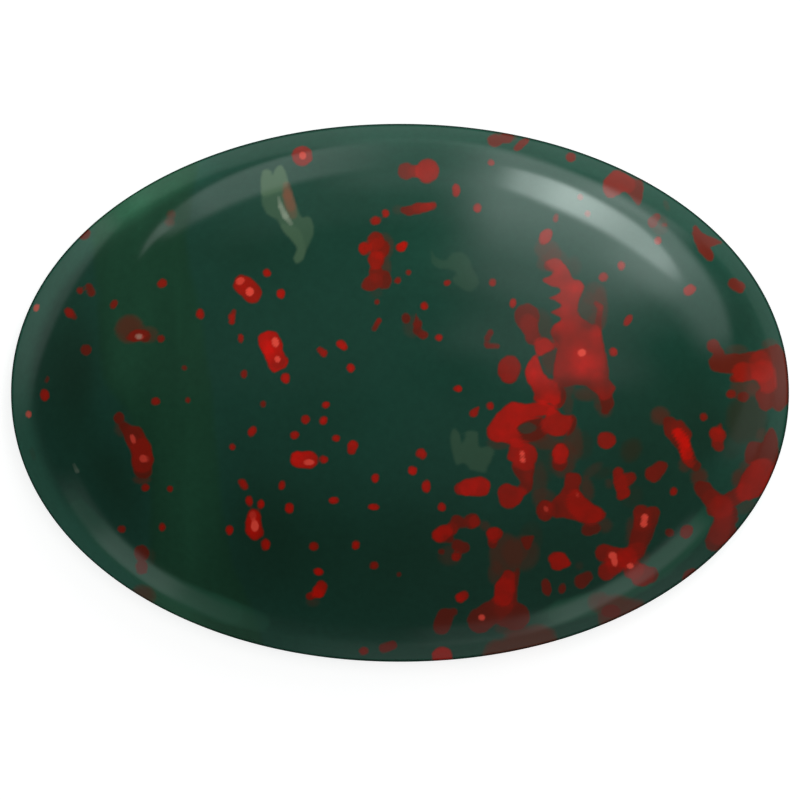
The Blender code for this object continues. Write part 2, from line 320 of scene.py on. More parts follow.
RED_PATCHES = (
    # upper of the two large spots left of the middle
    (0.34, (
        (-8.3, 5.34), (-8.12, 5.02), (-7.92, 4.84), (-7.76, 4.66), (-7.48, 4.48), (-7.16, 4.48),
        (-6.94, 4.74), (-6.88, 5.04), (-7.02, 5.32), (-7.26, 5.55), (-7.57, 5.78), (-7.9, 5.88),
        (-8.18, 5.7),
    )),
    # lower of them
    (0.62, (
        (-7.06, 2.72), (-6.94, 2.94), (-6.72, 3.05), (-6.42, 3.1), (-6.12, 3), (-5.94, 2.72), (-5.85, 2.44),
        (-5.8, 2.09), (-5.68, 1.8), (-5.56, 1.61), (-5.62, 1.36), (-5.8, 1.17), (-6.06, 1.06), (-6.28, 1),
        (-6.46, 1.14), (-6.58, 1.4), (-6.66, 1.62), (-6.84, 1.99), (-7, 2.34),
    )),
    # egg at the lower left of the middle
    (0.42, (
        (-7.28, -5.76), (-6.98, -6.02), (-6.88, -6.52), (-6.8, -7.02), (-6.96, -7.24), (-7.25, -7.34),
        (-7.48, -7.22), (-7.68, -6.94), (-7.72, -6.56), (-7.64, -6.14), (-7.5, -5.86),
    )),
    # spot at the upper right with a pointed side
    (0.45, (
        (0.03, 7.49), (-0.15, 7.36), (-0.2, 7.17), (-0.08, 7.04), (0.12, 7.02), (0.26, 7.2), (0.38, 7.44),
        (0.2, 7.55),
    )),
    # winged spot at the top right
    (0.12, (
        (10.12, 10.26), (10.22, 10.66), (10.55, 11), (10.85, 11.16), (11.3, 10.96), (11.65, 10.62),
        (11.68, 10.3), (11.5, 10.08), (11.15, 10.02), (10.9, 9.88), (10.6, 9.72), (10.3, 9.78),
    )),
    # its dull wing
    (0, (
        (11.1, 10.9), (11.7, 10.72), (12.12, 10.52), (12.14, 10.08), (12.06, 9.62), (11.96, 9.36),
        (11.76, 9.44), (11.56, 9.76), (11.28, 10.02), (11.1, 10.3),
    )),
    # spot at the top right rim
    (0.03, (
        (14.62, 8.24), (14.64, 7.76), (14.84, 7.24), (15.14, 6.8), (15.44, 6.58), (15.66, 6.68), (15.62, 7),
        (15.5, 7.24), (15.72, 7.36), (16.1, 7.5), (15.8, 7.7), (15.4, 7.86), (15.05, 8.06), (14.8, 8.36),
    )),
    # neck and body of the large splash right of the middle
    (0.24, (
        (7.3, 6.54), (7.76, 6.74), (8.18, 6.44), (8.46, 6.04), (8.6, 5.69), (8.97, 5.59), (9.17, 5.24),
        (9, 4.79), (8.85, 4.34), (8.95, 3.89), (9.36, 3.52), (9.74, 3.36), (10.02, 2.98), (10.15, 2.39),
        (10.32, 1.74), (10.36, 1.14), (10.46, 0.64), (10.74, 0.26), (10.5, -0.14), (10.1, -0.3),
        (9.8, -0.06), (9.5, 0.18), (9.2, 0.34), (8.8, 0.4), (8.3, 0.3), (7.8, 0.34), (7.6, 0.94),
        (7.7, 1.54), (7.8, 2.14), (7.62, 2.59), (7.5, 3.04), (7.72, 3.43), (8, 3.64), (7.78, 3.87),
        (7.5, 4.02), (8.04, 4.32), (7.74, 4.56), (7.44, 4.74), (7.94, 5), (7.84, 5.22), (7.36, 5.37),
        (7.1, 5.62), (7.5, 5.86), (7.66, 6.09), (7.5, 6.29),
    )),
    # triangle between the splash and the spot at its upper left
    (0.42, (
        (6.74, 2), (6.7, 2.38), (6.9, 2.66), (7.28, 2.75), (7.62, 2.52), (7.74, 2.28), (7.56, 2.1),
        (7.25, 1.96), (6.95, 1.8),
    )),
    # column down from the triangle to the foot
    (0.56, (
        (6.72, 1.9), (6.42, 1.56), (6.22, 1.14), (6.26, 0.66), (6.52, 0.3), (6.68, -0.04), (6.66, -0.34),
        (7.05, -0.52), (7.6, -0.56), (7.9, -0.4), (7.9, 0), (7.74, 0.4), (7.4, 0.7), (7.08, 1.14),
        (6.9, 1.64),
    )),
    # right flank of the column
    (0.12, (
        (7.4, 0.66), (7.8, 0.6), (8.1, 0.34), (8.26, -0.06), (8.2, -0.46), (8, -0.76), (7.6, -0.66),
        (7.4, 0),
    )),
    # foot of the column, left arm
    (0.52, (
        (7.55, -0.58), (6.95, -0.44), (6.4, -0.56), (5.94, -0.49), (5.6, -0.42), (5.33, -0.54),
        (4.95, -0.9), (4.56, -1.36), (4.33, -1.76), (4.38, -2.18), (4.66, -2.48), (5.08, -2.46),
        (5.4, -2.52), (5.7, -2.66), (6.04, -2.6), (5.96, -2.1), (5.82, -1.7), (6.2, -1.36), (6.8, -1.2),
        (7.4, -1.08), (7.75, -0.86),
    )),
    # its right lobe
    (0.4, (
        (7.46, -0.82), (7.85, -0.88), (8.1, -1.1), (8.4, -1.16), (8.5, -1.38), (8.38, -1.76), (8.22, -2.08),
        (7.86, -2.18), (7.4, -2.06), (7.1, -1.72), (7.2, -1.26),
    )),
    # dull red round the green hole in the foot
    (0, (
        (5.8, -1.4), (6.4, -1.2), (7, -1.2), (7.34, -1.5), (7.3, -2.06), (6.86, -2.36), (6.3, -2.5),
        (5.86, -2.4), (5.66, -1.9),
    )),
    # dull end of the right lobe
    (0, (
        (8.36, -1.1), (8.7, -1.12), (8.82, -1.46), (8.66, -1.86), (8.4, -2.14), (8.26, -1.6),
    )),
    # the tail that hangs from the foot
    (0.36, (
        (5.6, -2.34), (6.3, -2.46), (6.72, -2.72), (6.84, -3.12), (6.74, -3.46), (6.54, -3.72), (6.2, -3.8),
        (5.86, -3.66), (5.58, -3.46), (5.34, -3.28), (5.36, -2.96), (5.46, -2.62),
    )),
    # its dull lower part
    (0.06, (
        (5.58, -3.5), (5.64, -3.9), (5.84, -4.24), (5.98, -4.52), (5.84, -4.84), (5.98, -5.1),
        (6.34, -5.02), (6.6, -4.66), (6.64, -4.1), (6.72, -3.62), (6.4, -3.46),
    )),
    # the round end of the tail
    (0.3, (
        (4.82, -4.98), (4.98, -4.68), (5.28, -4.5), (5.62, -4.6), (6, -4.78), (6.24, -4.96), (6.1, -5.3),
        (5.88, -5.56), (5.58, -5.74), (5.26, -5.74), (5.02, -5.56), (4.9, -5.26),
    )),
    # triangular patch under the splash
    (0.16, (
        (8.28, -4.02), (8.55, -3.98), (8.88, -4.04), (9.04, -4.36), (8.92, -4.72), (9.1, -5.1),
        (9.4, -5.36), (9.72, -5.6), (10.09, -5.78), (10.28, -6.05), (10.14, -6.33), (9.84, -6.48),
        (9.4, -6.56), (8.8, -6.4), (8.2, -6.22), (7.72, -6.24), (7.4, -5.8), (7.6, -5.34), (7.92, -5.02),
        (8.14, -4.72), (8.19, -4.36),
    )),
    # its bright lower edge
    (0.3, (
        (8.6, -4.9), (8.96, -4.98), (9.3, -5.36), (9.74, -5.7), (10.02, -5.92), (9.96, -6.24), (9.6, -6.46),
        (9, -6.3), (8.6, -6), (8.36, -5.5),
    )),
    # spot with a corner, below the middle right
    (0.4, (
        (7.42, -8.14), (7.76, -7.93), (8.14, -7.97), (8.38, -8.22), (8.54, -8.62), (8.18, -8.78),
        (7.92, -8.88), (7.62, -8.8), (7.44, -8.46),
    )),
    # leaf beside the brown haze
    (0.05, (
        (6.02, -7.24), (6.3, -7.12), (6.68, -7.12), (6.6, -7.44), (6.48, -7.74), (6.3, -7.8), (6.1, -7.6),
    )),
    # mass at the right end
    (0.26, (
        (16.86, -4.86), (16.92, -4.46), (17.1, -4.06), (17.4, -3.66), (17.82, -3.42), (18.3, -3.36),
        (18.62, -3.7), (18.4, -4.6), (18.1, -5), (17.75, -5.28), (17.25, -5.4), (16.95, -5.24),
    )),
    # its dull upper lobes
    (0, (
        (17.28, -3.5), (17.24, -2.9), (17.44, -2.5), (17.8, -2.42), (18.1, -2.5), (18.24, -2.1),
        (18.5, -1.76), (18.78, -2), (18.9, -2.6), (18.9, -3.4), (18.5, -4), (17.8, -3.6),
    )),
)

# Ovals, without a cover, in which green shows inside a red patch.
RED_GAPS = (
    (6.34, -1.76, 0.46, 0.27, 8),
)

# Soft clouds of brighter or duller red inside the red marks: an oval, and what it adds to their cover at its
# middle.
RED_CLOUDS = (
    (-6.55, 2.25, 0.3, 0.5, 0, 0.45),
    (-7.55, 5.2, 0.45, 0.25, -40, 0.1),
    (-7.25, -6.55, 0.22, 0.45, 0, 0.22),
    (7.85, 6.25, 0.45, 0.45, 0, 0.16),
    (8.7, 5.2, 0.45, 0.4, 0, 0.22),
    (8.3, 4.3, 0.35, 0.7, 0, 0.12),
    (8.1, 3.3, 0.5, 0.35, 0, 0.16),
    (9.7, 2.55, 0.3, 0.45, 0, 0.16),
    (8.6, 1.6, 0.5, 0.6, 0, 0.2),
    (9.3, 1.3, 0.7, 0.7, 0, 0.34),
    (9, 2.05, 0.35, 0.3, 0, 0.18),
    (6.65, 0.95, 0.28, 0.45, 0, 0.16),
    (5.4, -1.4, 0.5, 0.5, 0, 0.1),
    (6.08, -3.05, 0.3, 0.4, 0, 0.26),
    (7.95, -2.85, 0.25, 0.3, 0, 0.12),
    (17.9, -4.1, 0.4, 0.6, -30, 0.06),
    (9, 0.42, 1.2, 0.38, 0, -0.24),
    (10.38, 1.2, 0.26, 1, 0, -0.24),
    (9.4, 3.4, 0.5, 0.35, 0, -0.16),
    (6.84, -0.15, 0.32, 0.45, 0, -0.34),
    (7.75, 2.64, 0.25, 0.4, 0, -0.2),
    (5.95, -2.24, 0.25, 0.35, 0, -0.2),
    (7.6, 0.45, 0.24, 0.28, 0, -0.14),
    (7.9, 0.05, 0.36, 0.45, 0, -0.24),
    (6.4, -4.15, 0.26, 0.4, 0, 0.14),
    (13.8, -2.65, 0.24, 0.3, 0, -0.3),
    (14.62, -3.15, 0.18, 0.3, 0, -0.16),
    (2.3, -7.2, 0.36, 0.2, 0, -0.22),
    (-6.1, 1.36, 0.3, 0.22, 0, -0.2),
    (-5.76, 1.56, 0.18, 0.26, 0, -0.28),
    (7.68, -5.82, 0.28, 0.4, 0, -0.12),
)

# Red so deep in the stone that it looks brown.
BROWN_SPOTS = (
    (-13.47, 3.18, 0.7, 0.7, 0, 0.9),
    (-12.55, 2.9, 0.5, 0.4, 0, 0.6),
    (-13.85, -1.76, 0.34, 0.4, 0, 0.6),
    (-12.7, -8.2, 0.5, 0.5, 0, 0.2),
    (-12.8, -10.1, 0.6, 0.48, -20, 0.75),
    (-11.42, 8.9, 0.2, 0.19, 0, 0.9),
    (-11.5, 8.5, 0.23, 0.19, 0, 0.9),
    (-4.35, -10.42, 0.3, 0.24, 0, 0.45),
    (-0.1, 9.12, 0.24, 0.22, 0, 0.3),
    (-0.78, 7.3, 0.46, 0.62, 0, 0.55),
    (-0.8, 6.24, 0.36, 0.5, 0, 0.55),
    (-1.2, 5, 0.3, 0.25, 0, 0.2),
    (0.6, 3.3, 0.45, 0.55, 0, 0.3),
    (4.22, -6.62, 0.28, 0.22, -30, 0.6),
    (2.5, -8.1, 0.6, 0.5, 0, 0.35),
    (5.5, 12.8, 0.34, 0.24, 0, 0.5),
    (7.35, 7.1, 0.66, 0.56, -30, 0.6),
    (7.22, 6.42, 0.4, 0.36, 0, 0.5),
    (8.66, 6.3, 0.36, 0.5, 0, 0.25),
    (12.98, 8.36, 0.42, 0.48, 0, 0.35),
    (7.8, 6.6, 0.55, 0.55, 0, 0.4),
    (9.7, 4.96, 0.6, 0.55, 0, 0.4),
    (10, 4.2, 0.36, 1, 0, 0.55),
    (9.3, 4.2, 0.5, 0.75, 0, 0.4),
    (9.8, 3.5, 0.4, 0.4, 0, 0.7),
    (6.9, 3.3, 0.7, 0.9, 0, 0.35),
    (7.42, 1.6, 0.4, 0.7, 0, 0.6),
    (8.3, 0.3, 0.4, 0.45, 0, 0.55),
    (9.3, -0.06, 0.6, 0.36, 0, 0.55),
    (8.36, -0.6, 0.26, 0.5, 0, 0.45),
    (10.22, -0.8, 0.36, 0.4, 0, 0.7),
    (8.62, -2.34, 0.48, 0.95, 12, 0.55),
    (8.1, -3.3, 0.66, 0.9, 0, 0.6),
    (7.2, -2.44, 0.8, 0.38, 0, 0.58),
    (4.96, -2.46, 0.6, 0.36, 0, 0.45),
    (6.6, -1.9, 0.9, 0.55, 0, 0.6),
    (6.9, -4.4, 0.45, 1, 0, 0.35),
    (7.2, -5.3, 0.6, 0.5, 0, 0.45),
    (9.6, -3.85, 0.55, 0.24, 35, 0.35),
    (9.32, -4.8, 0.34, 0.6, 12, 0.6),
    (10.42, -4.52, 0.2, 0.22, 0, 0.5),
    (10.2, -6.6, 0.38, 0.36, 0, 0.5),
    (11.58, -6.75, 0.32, 0.55, 0, 0.55),
    (4.75, -9, 0.36, 0.55, 0, 0.55),
    (5.25, -8.06, 0.8, 1.05, 0, 0.62),
    (6.1, -8, 0.85, 0.9, 0, 0.42),
    (5.7, -7.9, 0.6, 0.55, 0, 0.45),
    (8.95, -8.62, 0.18, 0.18, 0, 0.3),
    (11.85, -7.3, 0.6, 0.5, 0, 0.35),
    (12.05, -8.2, 0.4, 0.4, 0, 0.4),
    (9.95, -10.46, 0.56, 0.52, 0, 0.8),
    (5.1, -11.75, 0.36, 0.3, 0, 0.45),
    (16.8, 2.14, 0.5, 0.26, 0, 0.4),
    (17.2, 0.24, 0.7, 0.44, 0, 0.6),
    (17.9, 0.2, 0.5, 0.4, 0, 0.6),
    (12.95, -1.15, 0.46, 0.44, 0, 0.85),
    (14.92, -4.22, 0.42, 0.46, 0, 0.9),
    (13.32, 9.36, 0.12, 0.24, 20, 0.4),
    (16.9, -4.32, 0.34, 0.46, 0, 0.8),
    (17.22, -3.72, 0.26, 0.3, 0, 0.5),
    (-12.86, -4.32, 0.4, 0.22, 0, 0.8),
    (18.5, 2.4, 0.4, 0.3, 0, 0.5),
    (18.08, -2.2, 0.3, 0.4, 0, 0.5),
    (14.2, -3.58, 0.3, 0.36, 0, 0.7),
    (9.84, -0.48, 0.2, 0.36, 0, 0.6),
    (17.25, -5.72, 0.55, 0.3, 20, 0.35),
)

BROWN_PATCHES = (
    # on the lower rim
    (1, (
        (5.25, -12), (5.6, -11.8), (6.4, -11.66), (7, -11.58), (7.45, -11.72), (7.78, -12.14), (7.8, -13.6),
        (4.05, -13.9), (4.14, -13.1), (4.34, -12.6), (4.72, -12.34), (5.12, -12.3), (5.3, -12.16),
    )),
    # on the rim at the lower right
    (1, (
        (9.92, -10.66), (10.16, -10.22), (10.8, -10.08), (11.5, -10.28), (12.2, -10.48), (12, -11.2),
        (10.6, -12), (10, -11.6),
    )),
)

OLIVE_VEIL = (
    (-18.33, -3.06, 0.12, 0.28, 15, 0.6),
    (9.1, -2.61, 0.5, 0.7, 0, 0.45),
    (11.52, -2.86, 0.5, 0.62, -30, 0.95),
    (11.5, -5.1, 0.6, 0.6, 0, 0.4),
    (10.1, -4, 0.5, 0.26, 25, 0.5),
    (7.1, -3.4, 0.6, 1.3, 0, 0.35),
    (6.5, -7.3, 0.6, 0.9, -10, 0.4),
    (17.3, -1.3, 1.05, 1.25, 0, 0.8),
    (16.45, -2.6, 0.6, 0.7, 0, 0.25),
)

# Painted highlights: small pale pink glints painted into the colour of the bright red spots.
PINK_GLINTS = (
    (-18.17, 4.25, 0.16, 0.21, -25, 0.6),
    (-18.55, -1.07, 0.15, 0.19, 0, 0.6),
    (-12.98, 2.8, 0.24, 0.15, 0, 0.2),
    (-13.3, -2.3, 0.15, 0.25, 20, 0.6),
    (-12.82, -3.28, 0.18, 0.2, 0, 0.52),
    (-12.62, -3.3, 0.16, 0.17, 0, 0.15),
    (-4.86, 11.84, 0.18, 0.21, 0, 0.5),
    (-7.96, 5.56, 0.25, 0.19, 30, 0.62),
    (-7.48, 5.03, 0.22, 0.24, 0, 0.9),
    (-6.2, 2.52, 0.2, 0.27, 8, 1),
    (-6.09, 1.67, 0.16, 0.18, 0, 0.9),
    (-4.53, -3.46, 0.27, 0.16, 0, 0.8),
    (-7.23, -6.64, 0.2, 0.29, 0, 1),
    (-7.33, -6.1, 0.18, 0.24, 0, 0.3),
    (9.05, 1.99, 0.22, 0.19, 15, 0.9),
    (6.08, -3.04, 0.15, 0.18, 10, 1),
    (6.11, -3.34, 0.17, 0.16, 0, 1),
    (8.84, -5.1, 0.11, 0.15, 10, 0.35),
    (7.27, -5.78, 0.13, 0.18, 25, 0.42),
    (4.08, -11.21, 0.17, 0.17, 0, 0.85),
    (10.6, -8.12, 0.22, 0.2, 0, 1),
    (10.7, -8.42, 0.16, 0.25, 10, 1),
    (11.49, -8.64, 0.19, 0.16, 0, 1),
    (12.2, -6.22, 0.2, 0.2, 0, 1),
    (12.15, -6.53, 0.2, 0.2, 0, 0.95),
)

WISP_PATCHES = (
    # long wisp at the upper left
    (0.41, (
        (-6.84, 11.04), (-6.7, 11.14), (-6.5, 11.08), (-6.36, 10.86), (-6.22, 11.14), (-6.02, 11.34),
        (-5.84, 11.24), (-5.66, 10.84), (-5.58, 10.4), (-5.42, 9.98), (-5.28, 9.6), (-5.12, 9.24),
        (-4.98, 8.88), (-4.82, 8.74), (-4.62, 8.8), (-4.42, 8.66), (-4.3, 8.22), (-4.34, 7.84),
        (-4.5, 7.46), (-4.68, 7.02), (-4.84, 6.66), (-5.14, 6.44), (-5.28, 6.74), (-5.1, 7.14),
        (-5.3, 7.48), (-5.5, 7.74), (-5.68, 7.88), (-5.82, 8.06), (-6.02, 8.44), (-6.18, 8.66),
        (-6.58, 8.88), (-6.86, 9.36), (-6.92, 9.94), (-6.92, 10.64),
    )),
    # its paler top
    (0.5, (
        (-6.84, 11.04), (-6.7, 11.14), (-6.5, 11.08), (-6.36, 10.86), (-6.22, 11.14), (-6.02, 11.34),
        (-5.84, 11.24), (-5.66, 10.84), (-5.6, 10.5), (-5.86, 10.2), (-6.3, 10), (-6.86, 9.9),
        (-6.92, 10.64),
    )),
    # its tail
    (0.26, (
        (-5.9, 8.34), (-5.5, 8.3), (-5.1, 8.1), (-4.9, 7.7), (-4.8, 7.2), (-4.84, 6.66), (-5.14, 6.44),
        (-5.28, 6.74), (-5.1, 7.14), (-5.3, 7.48), (-5.5, 7.74), (-5.68, 7.88),
    )),
    # a smoky form at the top of the middle
    (0.16, (
        (1.55, 7.14), (1.78, 6.74), (2.3, 6.6), (2.6, 6.96), (3.1, 6.98), (3.46, 6.66), (3.62, 6.2),
        (3.82, 5.84), (3.94, 5.5), (3.72, 5.18), (3.4, 5.04), (2.9, 5.3), (2.6, 5.64), (2.8, 5.94),
        (2.5, 6.14), (1.9, 6.2), (1.58, 6.5),
    )),
    # tooth right of the middle
    (0.3, (
        (2.5, -2.36), (2.65, -3.11), (2.8, -3.56), (3.2, -3.51), (3.5, -3.81), (3.85, -3.91), (4.25, -3.96),
        (4.35, -3.71), (4.7, -2.96), (4.45, -2.66), (4, -2.71), (3.9, -2.36), (3.85, -1.96), (3.3, -1.91),
        (3.2, -2.3), (3.05, -2.5), (2.95, -2), (2.75, -1.76), (2.6, -1.86),
    )),
)

WHITE_STREAKS_AND_GLINT = (
    (
        (-6.06, 9.76, 0.06, 0.32), (-5.94, 9.28, 0.12, 0.62), (-5.72, 8.82, 0.15, 0.72),
        (-5.44, 8.44, 0.11, 0.36),
    ),
    ((-16.27, -3.58, 0.06, 0.2), (-16.1, -3.9, 0.1, 0.35)),
    # a painted glint: a white highlight on the blotch with a pale core
    ((-13.06, 2.8, 0.12, 0.6), (-12.95, 2.8, 0.12, 0.6)),
)

# A salmon flush beside the white streak.
SALMON_STREAKS = (
    ((-5.66, 10.34, 0.18, 0.6), (-5.6, 9.84, 0.24, 1), (-5.46, 9.34, 0.26, 0.8), (-5.34, 8.86, 0.2, 0.4)),
)

# Broad changes of the green ground.
WARM_GREEN_PATCHES = (
    (1, (
        (-15.3, 9.7), (-15.4, 8), (-15.3, 6.4), (-15.1, 4.64), (-15, 2.64), (-14.95, 1.24), (-14.65, 0.34),
        (-14.1, -0.41), (-13.6, -1.16), (-13, -2.36), (-12.55, -3.86), (-12.45, -5.36), (-12.5, -6.86),
        (-12.5, -8.36), (-12.6, -10.36), (-12.5, -12.36), (-10, -14.2), (-6.9, -14.2), (-6.9, -12.36),
        (-7.5, -10.46), (-8.35, -8.46), (-8.8, -5.86), (-9.05, -3.36), (-9.3, -0.36), (-9.7, 2.64),
        (-10.1, 4.9), (-10.6, 7), (-10.4, 9.6), (-10.2, 13), (-14, 13),
    )),
)

# Painted light: a green glow along the low arcs at the lower left and right, where the reflectors are
# mirrored.
PAINTED_GLOW_STREAKS = (
    (
        (-16.4, -5.2, 0.4, 0.25), (-16, -5.86, 0.5, 0.65), (-14.5, -7.51, 0.6, 0.85),
        (-12.5, -9.21, 0.6, 1), (-10.5, -10.21, 0.62, 1), (-8.5, -10.96, 0.62, 1), (-7, -11.46, 0.5, 0.5),
    ),
    (
        (6.8, -11.5, 0.45, 0.5), (8, -10.96, 0.58, 1), (10, -10.41, 0.6, 1), (12, -9.31, 0.6, 1),
        (13, -8.61, 0.6, 1), (14, -7.76, 0.58, 1), (15, -6.66, 0.5, 1), (15.6, -5.76, 0.4, 0.6),
    ),
)

# Broad changes of brightness in the ground: an oval, and how many times as bright it makes the green at its
# middle. The darker ones are painted shade; the brighter ones in the warm band are the stone's own colour.
GREEN_CLOUDS_AND_SHADE = (
    # painted shade at the left end
    (-17, 2, 1.3, 4.5, -5, 0.82),
    (-16, 0.8, 1.1, 3.4, -5, 0.72),
    (-14.2, -4.4, 1.3, 2.6, 25, 0.74),
    # the warm band
    (-13.8, 1.6, 1, 3, -5, 1.2),
    (-10.4, -6.4, 1.5, 4.6, 0, 1.34),
    (-13.2, 9.4, 1.6, 1, 35, 1.32),
    # painted shade: the darker bands above, below and in the warm band
    (-8.5, 7.2, 3.6, 1.7, 0, 0.82),
    (-6.5, -6, 2.2, 3, 0, 0.8),
    (-1, -8.5, 9, 3.6, 0, 0.78),
    # the right end, mostly painted shade
    (12.2, -3.5, 2.6, 5, 10, 0.76),
    (14.4, 0, 1.6, 3, 0, 0.85),
    (8.5, -9, 3, 2.5, 0, 0.85),
    (15.6, -2.4, 1.6, 2.4, 0, 0.74),
    (16, -4, 0.9, 1.2, 0, 1.35),
    (17.3, 3.9, 1.2, 1.6, 0, 0.86),
    (-14.1, -0.8, 0.7, 1.2, 0, 0.86),
    # above the middle
    (1.8, 6.8, 2, 1.6, 0, 1.14),
)


# Shape of the stone.

EDGE_ROUNDING = 0.12  # how far from a corner of the rim, in millimetres, its rounding starts
EDGE_STEPS = 4  # points round such a corner
BASE_RINGS = (0.93, 0.8, 0.6, 0.35, 0.15)  # sizes of the rings on the base, as shares of its outline


def signed_power(value, power):
    """The power of a number's size, with the number's sign."""
    return np.sign(value) * np.abs(value) ** power


def radius_growth(x, y, power):
    """At a point of the rim, how fast the oval's own radius, 1 at the rim, grows along X and along Y."""
    rate_x = signed_power(x / HALF_LENGTH, power - 1) / HALF_LENGTH
    rate_y = signed_power(y / HALF_WIDTH, power - 1) / HALF_WIDTH
    return rate_x, rate_y


def outline(turn, size):
    """The oval at these turns round it: x is the half length times cos(turn) to the power 2/n, y is the half
    width times sin(turn) to the power 2/n, each with its sign. Also gives the direction that faces out, and
    the reach: one over the rate at which the oval's own radius, 1 at the rim, grows that way."""
    x = HALF_LENGTH * signed_power(np.cos(turn), 2 / size.outline_power)
    y = HALF_WIDTH * signed_power(np.sin(turn), 2 / size.outline_power)
    rate_x, rate_y = radius_growth(x, y, size.outline_power)
    rate = np.hypot(rate_x, rate_y)
    return x, y, rate_x / rate, rate_y / rate, 1 / rate


def dome_height(radius, reach, size):
    """The height in millimetres at this share of the way to the rim: one minus a power of the radius, to a
    power under 1, for the shoulder, and a share of one minus the radius squared for the crown. The first
    power grows with the reach, so that the shoulder is as wide at the ends as at the sides."""
    fall = size.shoulder_power * reach / HALF_WIDTH
    rim = (1 - size.lip) ** size.shoulder_round
    shoulder = ((1 - size.lip * radius**fall) ** size.shoulder_round - rim) / (1 - rim)
    crown = 1 - radius**2
    share = (1 - size.crown_share) * shoulder + size.crown_share * crown
    girdle = size.girdle_top / MM
    return girdle + (STONE_HEIGHT - girdle) * share


def squares_on_a_disc(rings):
    """A square grid bent onto a disc. On the square ring a, the radius is a and the turn is an eighth of a
    full turn times the place along the ring's side, so the disc has no pole and its rim has 8 points a ring.
    Gives radius and turn at each point, the four corners of each cell, and the rim's points in order."""
    count = 2 * rings + 1
    down, across = np.meshgrid(np.arange(count) - rings, np.arange(count) - rings, indexing="ij")
    wide = np.abs(across) >= np.abs(down)
    side = np.where(wide, across, down).astype(float)
    along = np.where(wide, down, -across).astype(float)
    safe = np.where(side == 0, 1.0, side)
    turn = np.where(wide, 0.0, math.pi / 2) + (math.pi / 4) * along / safe
    turn = turn + np.where(side < 0, math.pi, 0.0)
    radius = np.abs(side) / rings
    number = np.arange(count * count).reshape(count, count)
    corners = (number[:-1, :-1], number[:-1, 1:], number[1:, 1:], number[1:, :-1])
    cells = np.stack([corner.ravel() for corner in corners], axis=1)
    rim = number[radius == 1.0]
    rim = rim[np.argsort(np.mod(turn.ravel()[rim] + 1e-9, 2 * math.pi))]
    return radius.ravel(), turn.ravel(), cells, rim


def rounded_edge(before, corner, after):
    """A corner of the rim's profile, rounded: a curve that leaves one side and joins the other at the same
    distance from the corner, weighted by (1 - t) squared, 2t(1 - t) and t squared."""
    before, corner, after = (np.array(point, dtype=float) for point in (before, corner, after))
    start = corner + (before - corner) / np.linalg.norm(before - corner) * EDGE_ROUNDING
    end = corner + (after - corner) / np.linalg.norm(after - corner) * EDGE_ROUNDING
    t = np.linspace(0, 1, EDGE_STEPS)[:, None]
    return (1 - t) ** 2 * start + 2 * t * (1 - t) * corner + t**2 * end


def rim_profile(size):
    """From the end of the dome down to the base, as pairs: how far in from the outline, and the height."""
    top = size.girdle_top / MM
    bevel = size.base_bevel / MM
    lower = rounded_edge((0, top), (0, bevel), (bevel, 0))
    base = rounded_edge((0, bevel), (bevel, 0), (2 * bevel, 0))
    upright = np.array([(0.0, top - EDGE_ROUNDING), (0.0, (top + bevel) / 2)])
    return np.concatenate([upright, lower, base])


def stone_surface(size):
    """The whole closed surface: the dome on a square grid bent to the oval, the rim's profile carried round
    the outline, and rings on the base that end in one point. Gives points in millimetres and faces."""
    rings = size.rings
    radius, turn, cells, rim = squares_on_a_disc(rings)
    x, y, _, _, reach = outline(turn, size)
    dome = np.stack([x * radius, y * radius, dome_height(radius, reach, size)], axis=1)
    x, y, out_x, out_y, _ = outline(turn[rim], size)
    loops = [
        np.stack([x - inset * out_x, y - inset * out_y, np.full_like(x, height)], axis=1)
        for inset, height in rim_profile(size)
    ]
    last = loops[-1]
    loops += [last * (share, share, 1.0) for share in BASE_RINGS]
    points = np.concatenate([dome, *loops, [[0.0, 0.0, 0.0]]])
    around = len(rim)
    first = len(dome)
    rows = [rim] + [first + around * k + np.arange(around) for k in range(len(loops))]
    bands = [
        np.stack([upper, lower, np.roll(lower, -1), np.roll(upper, -1)], axis=1)
        for upper, lower in zip(rows[:-1], rows[1:])
    ]
    quads = np.concatenate([cells, *bands])
    tip = np.full(around, len(points) - 1)
    fan = np.stack([rows[-1], tip, np.roll(rows[-1], -1)], axis=1)
    return points, quads, fan


def mesh_from_faces(name, points, quads, triangles):
    """Puts whole arrays of points, four-sided and three-sided faces into a new mesh."""
    mesh = bpy.data.meshes.new(name)
    mesh.vertices.add(len(points))
    mesh.vertices.foreach_set("co", points.astype(np.float32).ravel())
    corners = np.concatenate([quads.ravel(), triangles.ravel()]).astype(np.int32)
    mesh.loops.add(len(corners))
    mesh.loops.foreach_set("vertex_index", corners)
    starts = np.concatenate([
        np.arange(len(quads)) * 4,
        len(quads) * 4 + np.arange(len(triangles)) * 3,
    ]).astype(np.int32)
    mesh.polygons.add(len(starts))
    mesh.polygons.foreach_set("loop_start", starts)
    mesh.update(calc_edges=True)
    mesh.validate()
    mesh.shade_smooth()
    return mesh


# Measures of the markings.

JOINT = 0.09  # width in millimetres over which touching marks flow into one another
DEPTH_SHARE = 0.45  # a mark narrows by this share of the way down the stone's side
FAR_OUT = -0.35  # the measure of every point that is further from a mark than this
GROUND_FAR_OUT = -2.0  # the same for the broad changes of the ground
ROOM = 1.5  # millimetres by which the box round a mark is wider than its measure needs
COVER_EDGE = 0.14  # width in millimetres, just outside a mark, over which its cover builds up


def flow_together(first, second):
    """The larger of two measures, rounded where they are about equal: the larger plus a quarter of the joint
    times the square of how near they are."""
    near = np.clip(JOINT - np.abs(first - second), 0, None) / JOINT
    return np.maximum(first, second) + near**2 * JOINT / 4


def built_up(value):
    """A smooth step from 0 to 1 over the cover's edge, which ends where the measure is 0."""
    share = np.clip(value / COVER_EDGE + 1, 0, 1)
    return share**2 * (3 - 2 * share)


